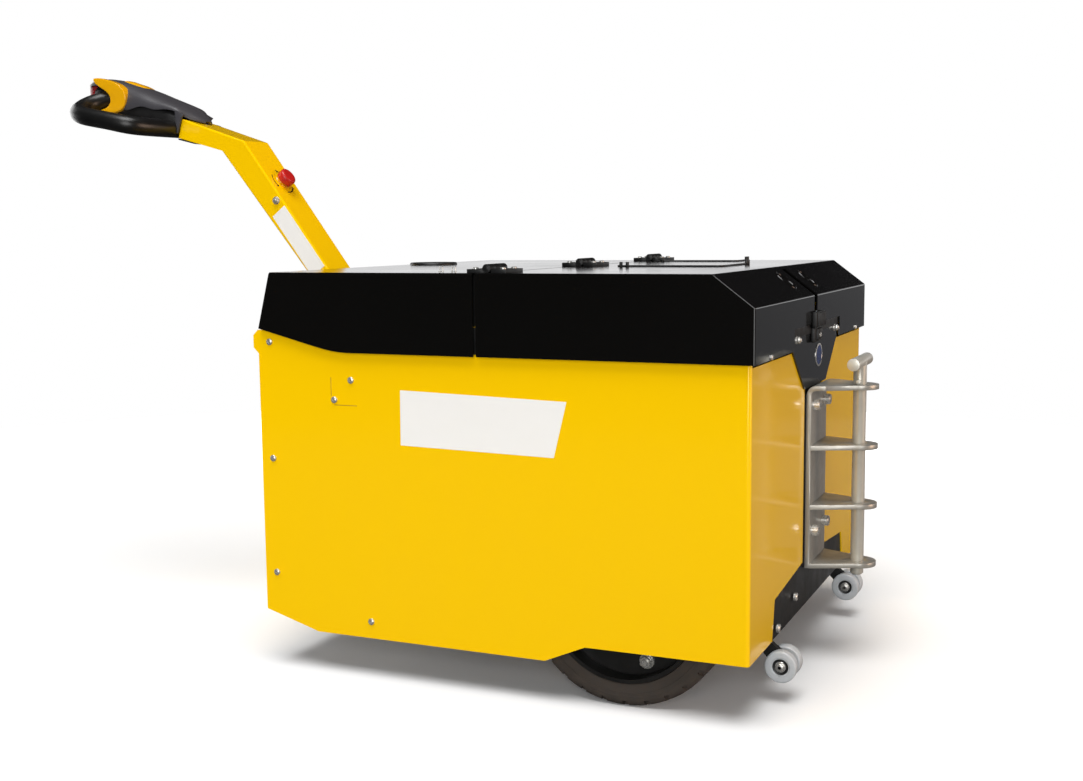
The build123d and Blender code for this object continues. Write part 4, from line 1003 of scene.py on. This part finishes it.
# Battery furniture, seen with the lid up
batteries = {
    "columns": (413, 598), "rows": (-177.5, 177.5), "top": 566,
    # half length, half width, foot and top of the case's lid and of its raised middle
    "lids": ((84, 168, -6, 3), (54, 128, 2, 7)), "lidRounding": 2.5,
    "plugCount": 6, "plugPitch": 38, "plugLift": 6.5,
    "plug": ((0, 13), (4, 13), (5, 12), (5, 7), (3.4, 6), (3.4, 0)),
    "postX": 52, "postY": 140,
    "post": ((0, 10), (3, 10), (3.6, 8.6), (14, 7.6), (15, 6.8), (15, 0)), "postLift": 2.6,
    "postNut": (6.5, 6, 3.4, 8.5), "nutLift": 17.2,
    "linkFoot": 14, "linkTop": 17.4, "linkHalf": 8, "linkEnd": 6,
}


def makeBatteryFurniture(look):
    cases, metal, links = bmesh.new(), bmesh.new(), bmesh.new()
    top, half, end = look["top"], look["linkHalf"], look["linkEnd"]
    for x in look["columns"]:
        for y in look["rows"]:
            for halfX, halfY, low, high in look["lids"]:
                setDown(cases, boxShape((x - halfX, y - halfY, top + low),
                                        (x + halfX, y + halfY, top + high), look["lidRounding"]))
            for count in range(look["plugCount"]):
                plugY = y + (count - (look["plugCount"] - 1) / 2) * look["plugPitch"]
                setDown(cases, turnedShape(look["plug"], 24),
                        standing(x, plugY, top + look["plugLift"], zAxis), 1)
            for side in (-1, 1):
                place = (x + look["postX"], y + side * look["postY"])
                setDown(metal, turnedShape(look["post"], 24),
                        standing(*place, top + look["postLift"], zAxis))
                setDown(metal, hexNut(*look["postNut"]),
                        standing(*place, top + look["nutLift"], zAxis))
    addPiece("batteryLids", cases, ["polypropylene", "mouldedNylon"])
    addPiece("batteryPosts", metal, ["zincPlate"])
    # Flat copper links under black sleeves join neighbouring posts
    low, high = look["rows"]
    first, last = (x + look["postX"] for x in look["columns"])
    near, far, outer = low + look["postY"], high - look["postY"], low - look["postY"]
    for x0, y0, x1, y1 in (
            (first - half, near - end, first + half, far + end),
            (last - half, near - end, last + half, far + end),
            (first - end, outer - half, last + end, outer + half)):
        setDown(links, boxShape((x0, y0, top + look["linkFoot"]),
                                (x1, y1, top + look["linkTop"]), 1))
    addPiece("batteryLinks", links, ["mouldedNylon"])


makeBatteryFurniture(batteries)
print("battery furniture made")


# Bolts and nuts below the deck and behind the arm: radius, height, stud and washer
lowFasteners = {
    "castorPivotX": 25, "plateBoltX": 55, "plateBoltY": 42, "plateFoot": 184, "beamTop": 202,
    "topNut": (8, 7, 4.4, 10), "footNut": (8, 5, 3, 10),
    "beamEndX": (-60, 0, 60, 120), "beamEndY": 272, "beamNut": (9, 7, 4.4, 11),
    "armBracket": ((-137, 60, 462), (-137, 60, 562)), "armNut": (9, 8, 5, 12),
    "castorAxle": (-20, 75), "castorHubFace": 60, "axleNut": (10, 8, 5, 13),
}


def makeLowFasteners(look):
    bm = bmesh.new()
    for side in (-1, 1):
        for way in (-1, 1):
            x, y = look["castorPivotX"] + way * look["plateBoltX"], side * look["plateBoltY"]
            setDown(bm, hexNut(*look["topNut"]), standing(x, y, look["beamTop"], zAxis))
            setDown(bm, hexNut(*look["footNut"]), standing(x, y, look["plateFoot"], -zAxis))
        for x in look["beamEndX"]:
            setDown(bm, hexNut(*look["beamNut"]),
                    standing(x, side * look["beamEndY"], look["beamTop"], zAxis))
        for x, y, z in look["armBracket"]:
            setDown(bm, hexNut(*look["armNut"]), standing(x, side * y, z, -xAxis))
    addPiece("frameBolts", bm, ["stainless"])
    # Castor axle ends turn with the twin wheels
    bm = bmesh.new()
    x, z = look["castorAxle"]
    for side in (-1, 1):
        setDown(bm, hexNut(*look["axleNut"]),
                standing(x, side * look["castorHubFace"], z, side * yAxis))
    addPiece("castorNuts", bm, ["zincPlate"], body="castor_wheels")


# Castor's twin treads
castorTyre = {
    "axleX": -20, "axleZ": 75, "middleY": 23, "halfWidth": 20, "radius": 75,
    # inset from the tread's side and from its radius
    "half": ((2, 20), (0, 17), (0, 9), (2.5, 4), (7, 1), (13, 0)),
}


def makeCastorTyres(look):
    half, radius = look["halfWidth"], look["radius"]
    lower = [(inset - half, radius - sunk) for inset, sunk in look["half"]]
    upper = [(half - inset, radius - sunk) for inset, sunk in reversed(look["half"])]
    bm = bmesh.new()
    for side in (-1, 1):
        setDown(bm, turnedShape(lower + upper, 72),
                standing(look["axleX"], side * look["middleY"], look["axleZ"], side * yAxis))
    addPiece("castorTreads", bm, ["castorTread"], ["castor_tyres"],
             "castor_wheels")


makeLowFasteners(lowFasteners)
makeCastorTyres(castorTyre)
print("underside fastened")


# Drive unit: bolted flanges on the gearbox and plain ones at the frame
driveUnit = {
    "axleX": 520, "axleZ": 168,
    "flangeY": 110,
    "flange": ((-1, 44), (-1, 62), (9, 62), (11, 60), (11, 52), (30, 47.5), (34, 44)),
    "boltCount": 6, "boltCircle": 56, "boltLift": 9, "bolt": (5.5, 6, 3, 6.8),
    "frameFlangeY": 276,
    "frameFlange": ((0, 44), (0, 58), (1, 60), (11, 60), (12, 58), (13.5, 44)),
}


def makeDriveDetails(look):
    x, z, circle = look["axleX"], look["axleZ"], look["boltCircle"]
    bm = bmesh.new()
    for side in (-1, 1):
        setDown(bm, turnedShape(look["flange"], 56),
                standing(x, side * look["flangeY"], z, side * yAxis))
        setDown(bm, turnedShape(look["frameFlange"], 56),
                standing(x, side * look["frameFlangeY"], z, side * yAxis))
        for count in range(look["boltCount"]):
            turn = 2 * pi * (count + 0.5) / look["boltCount"]
            setDown(bm, hexNut(*look["bolt"]), standing(
                x + circle * cos(turn), side * (look["flangeY"] + look["boltLift"]),
                z + circle * sin(turn), side * yAxis), 1)
    addPiece("driveFlanges", bm, ["castingEnamel", "zincPlate"])


makeDriveDetails(driveUnit)
print("drive unit dressed")


# Dark yellow strips painted as the shade along the left and lower edges of a tab pressed in the
# side panels: straight runs in x, z
panelMarks = {
    "runs": (((16, 480), (16, 510)), ((22, 464.5), (65, 464.5))),
    "width": 1.2, "face": 416, "proud": 0.15,
}


def makePanelMarks(look):
    half, proud = look["width"] / 2, look["proud"]
    bm = bmesh.new()
    for side in (-1, 1):
        y = side * look["face"]
        for (x0, z0), (x1, z1) in look["runs"]:
            setDown(bm, boxShape((x0 - half, y - proud, z0 - half),
                                 (x1 + half, y + proud, z1 + half), 0.05))
    # painted shade of the tab's edges, standing in for a groove
    addPiece("paintedTabShade", bm, ["tabEdgeShade"])


# Foam seals: behind the notch that the lid leaves round the vee plate, and behind its seam
seals = {
    "nose": ((733.7, -184, 572), (737.4, 184, 592)),
    "seamX": (280, 299), "seamY": (415.8, 418), "seamZ": (556, 599.5),
    "rounding": 0.8,
}


def makeSeals(look):
    bm = boxShape(*look["nose"], look["rounding"])
    for side in (-1, 1):
        across = sorted(side * y for y in look["seamY"])
        low, high = zip(look["seamX"], across, look["seamZ"])
        setDown(bm, boxShape(low, high, look["rounding"]))
    addPiece("foamSeals", bm, ["sealRubber"])


makePanelMarks(panelMarks)
makeSeals(seals)
print("marks and seals laid")
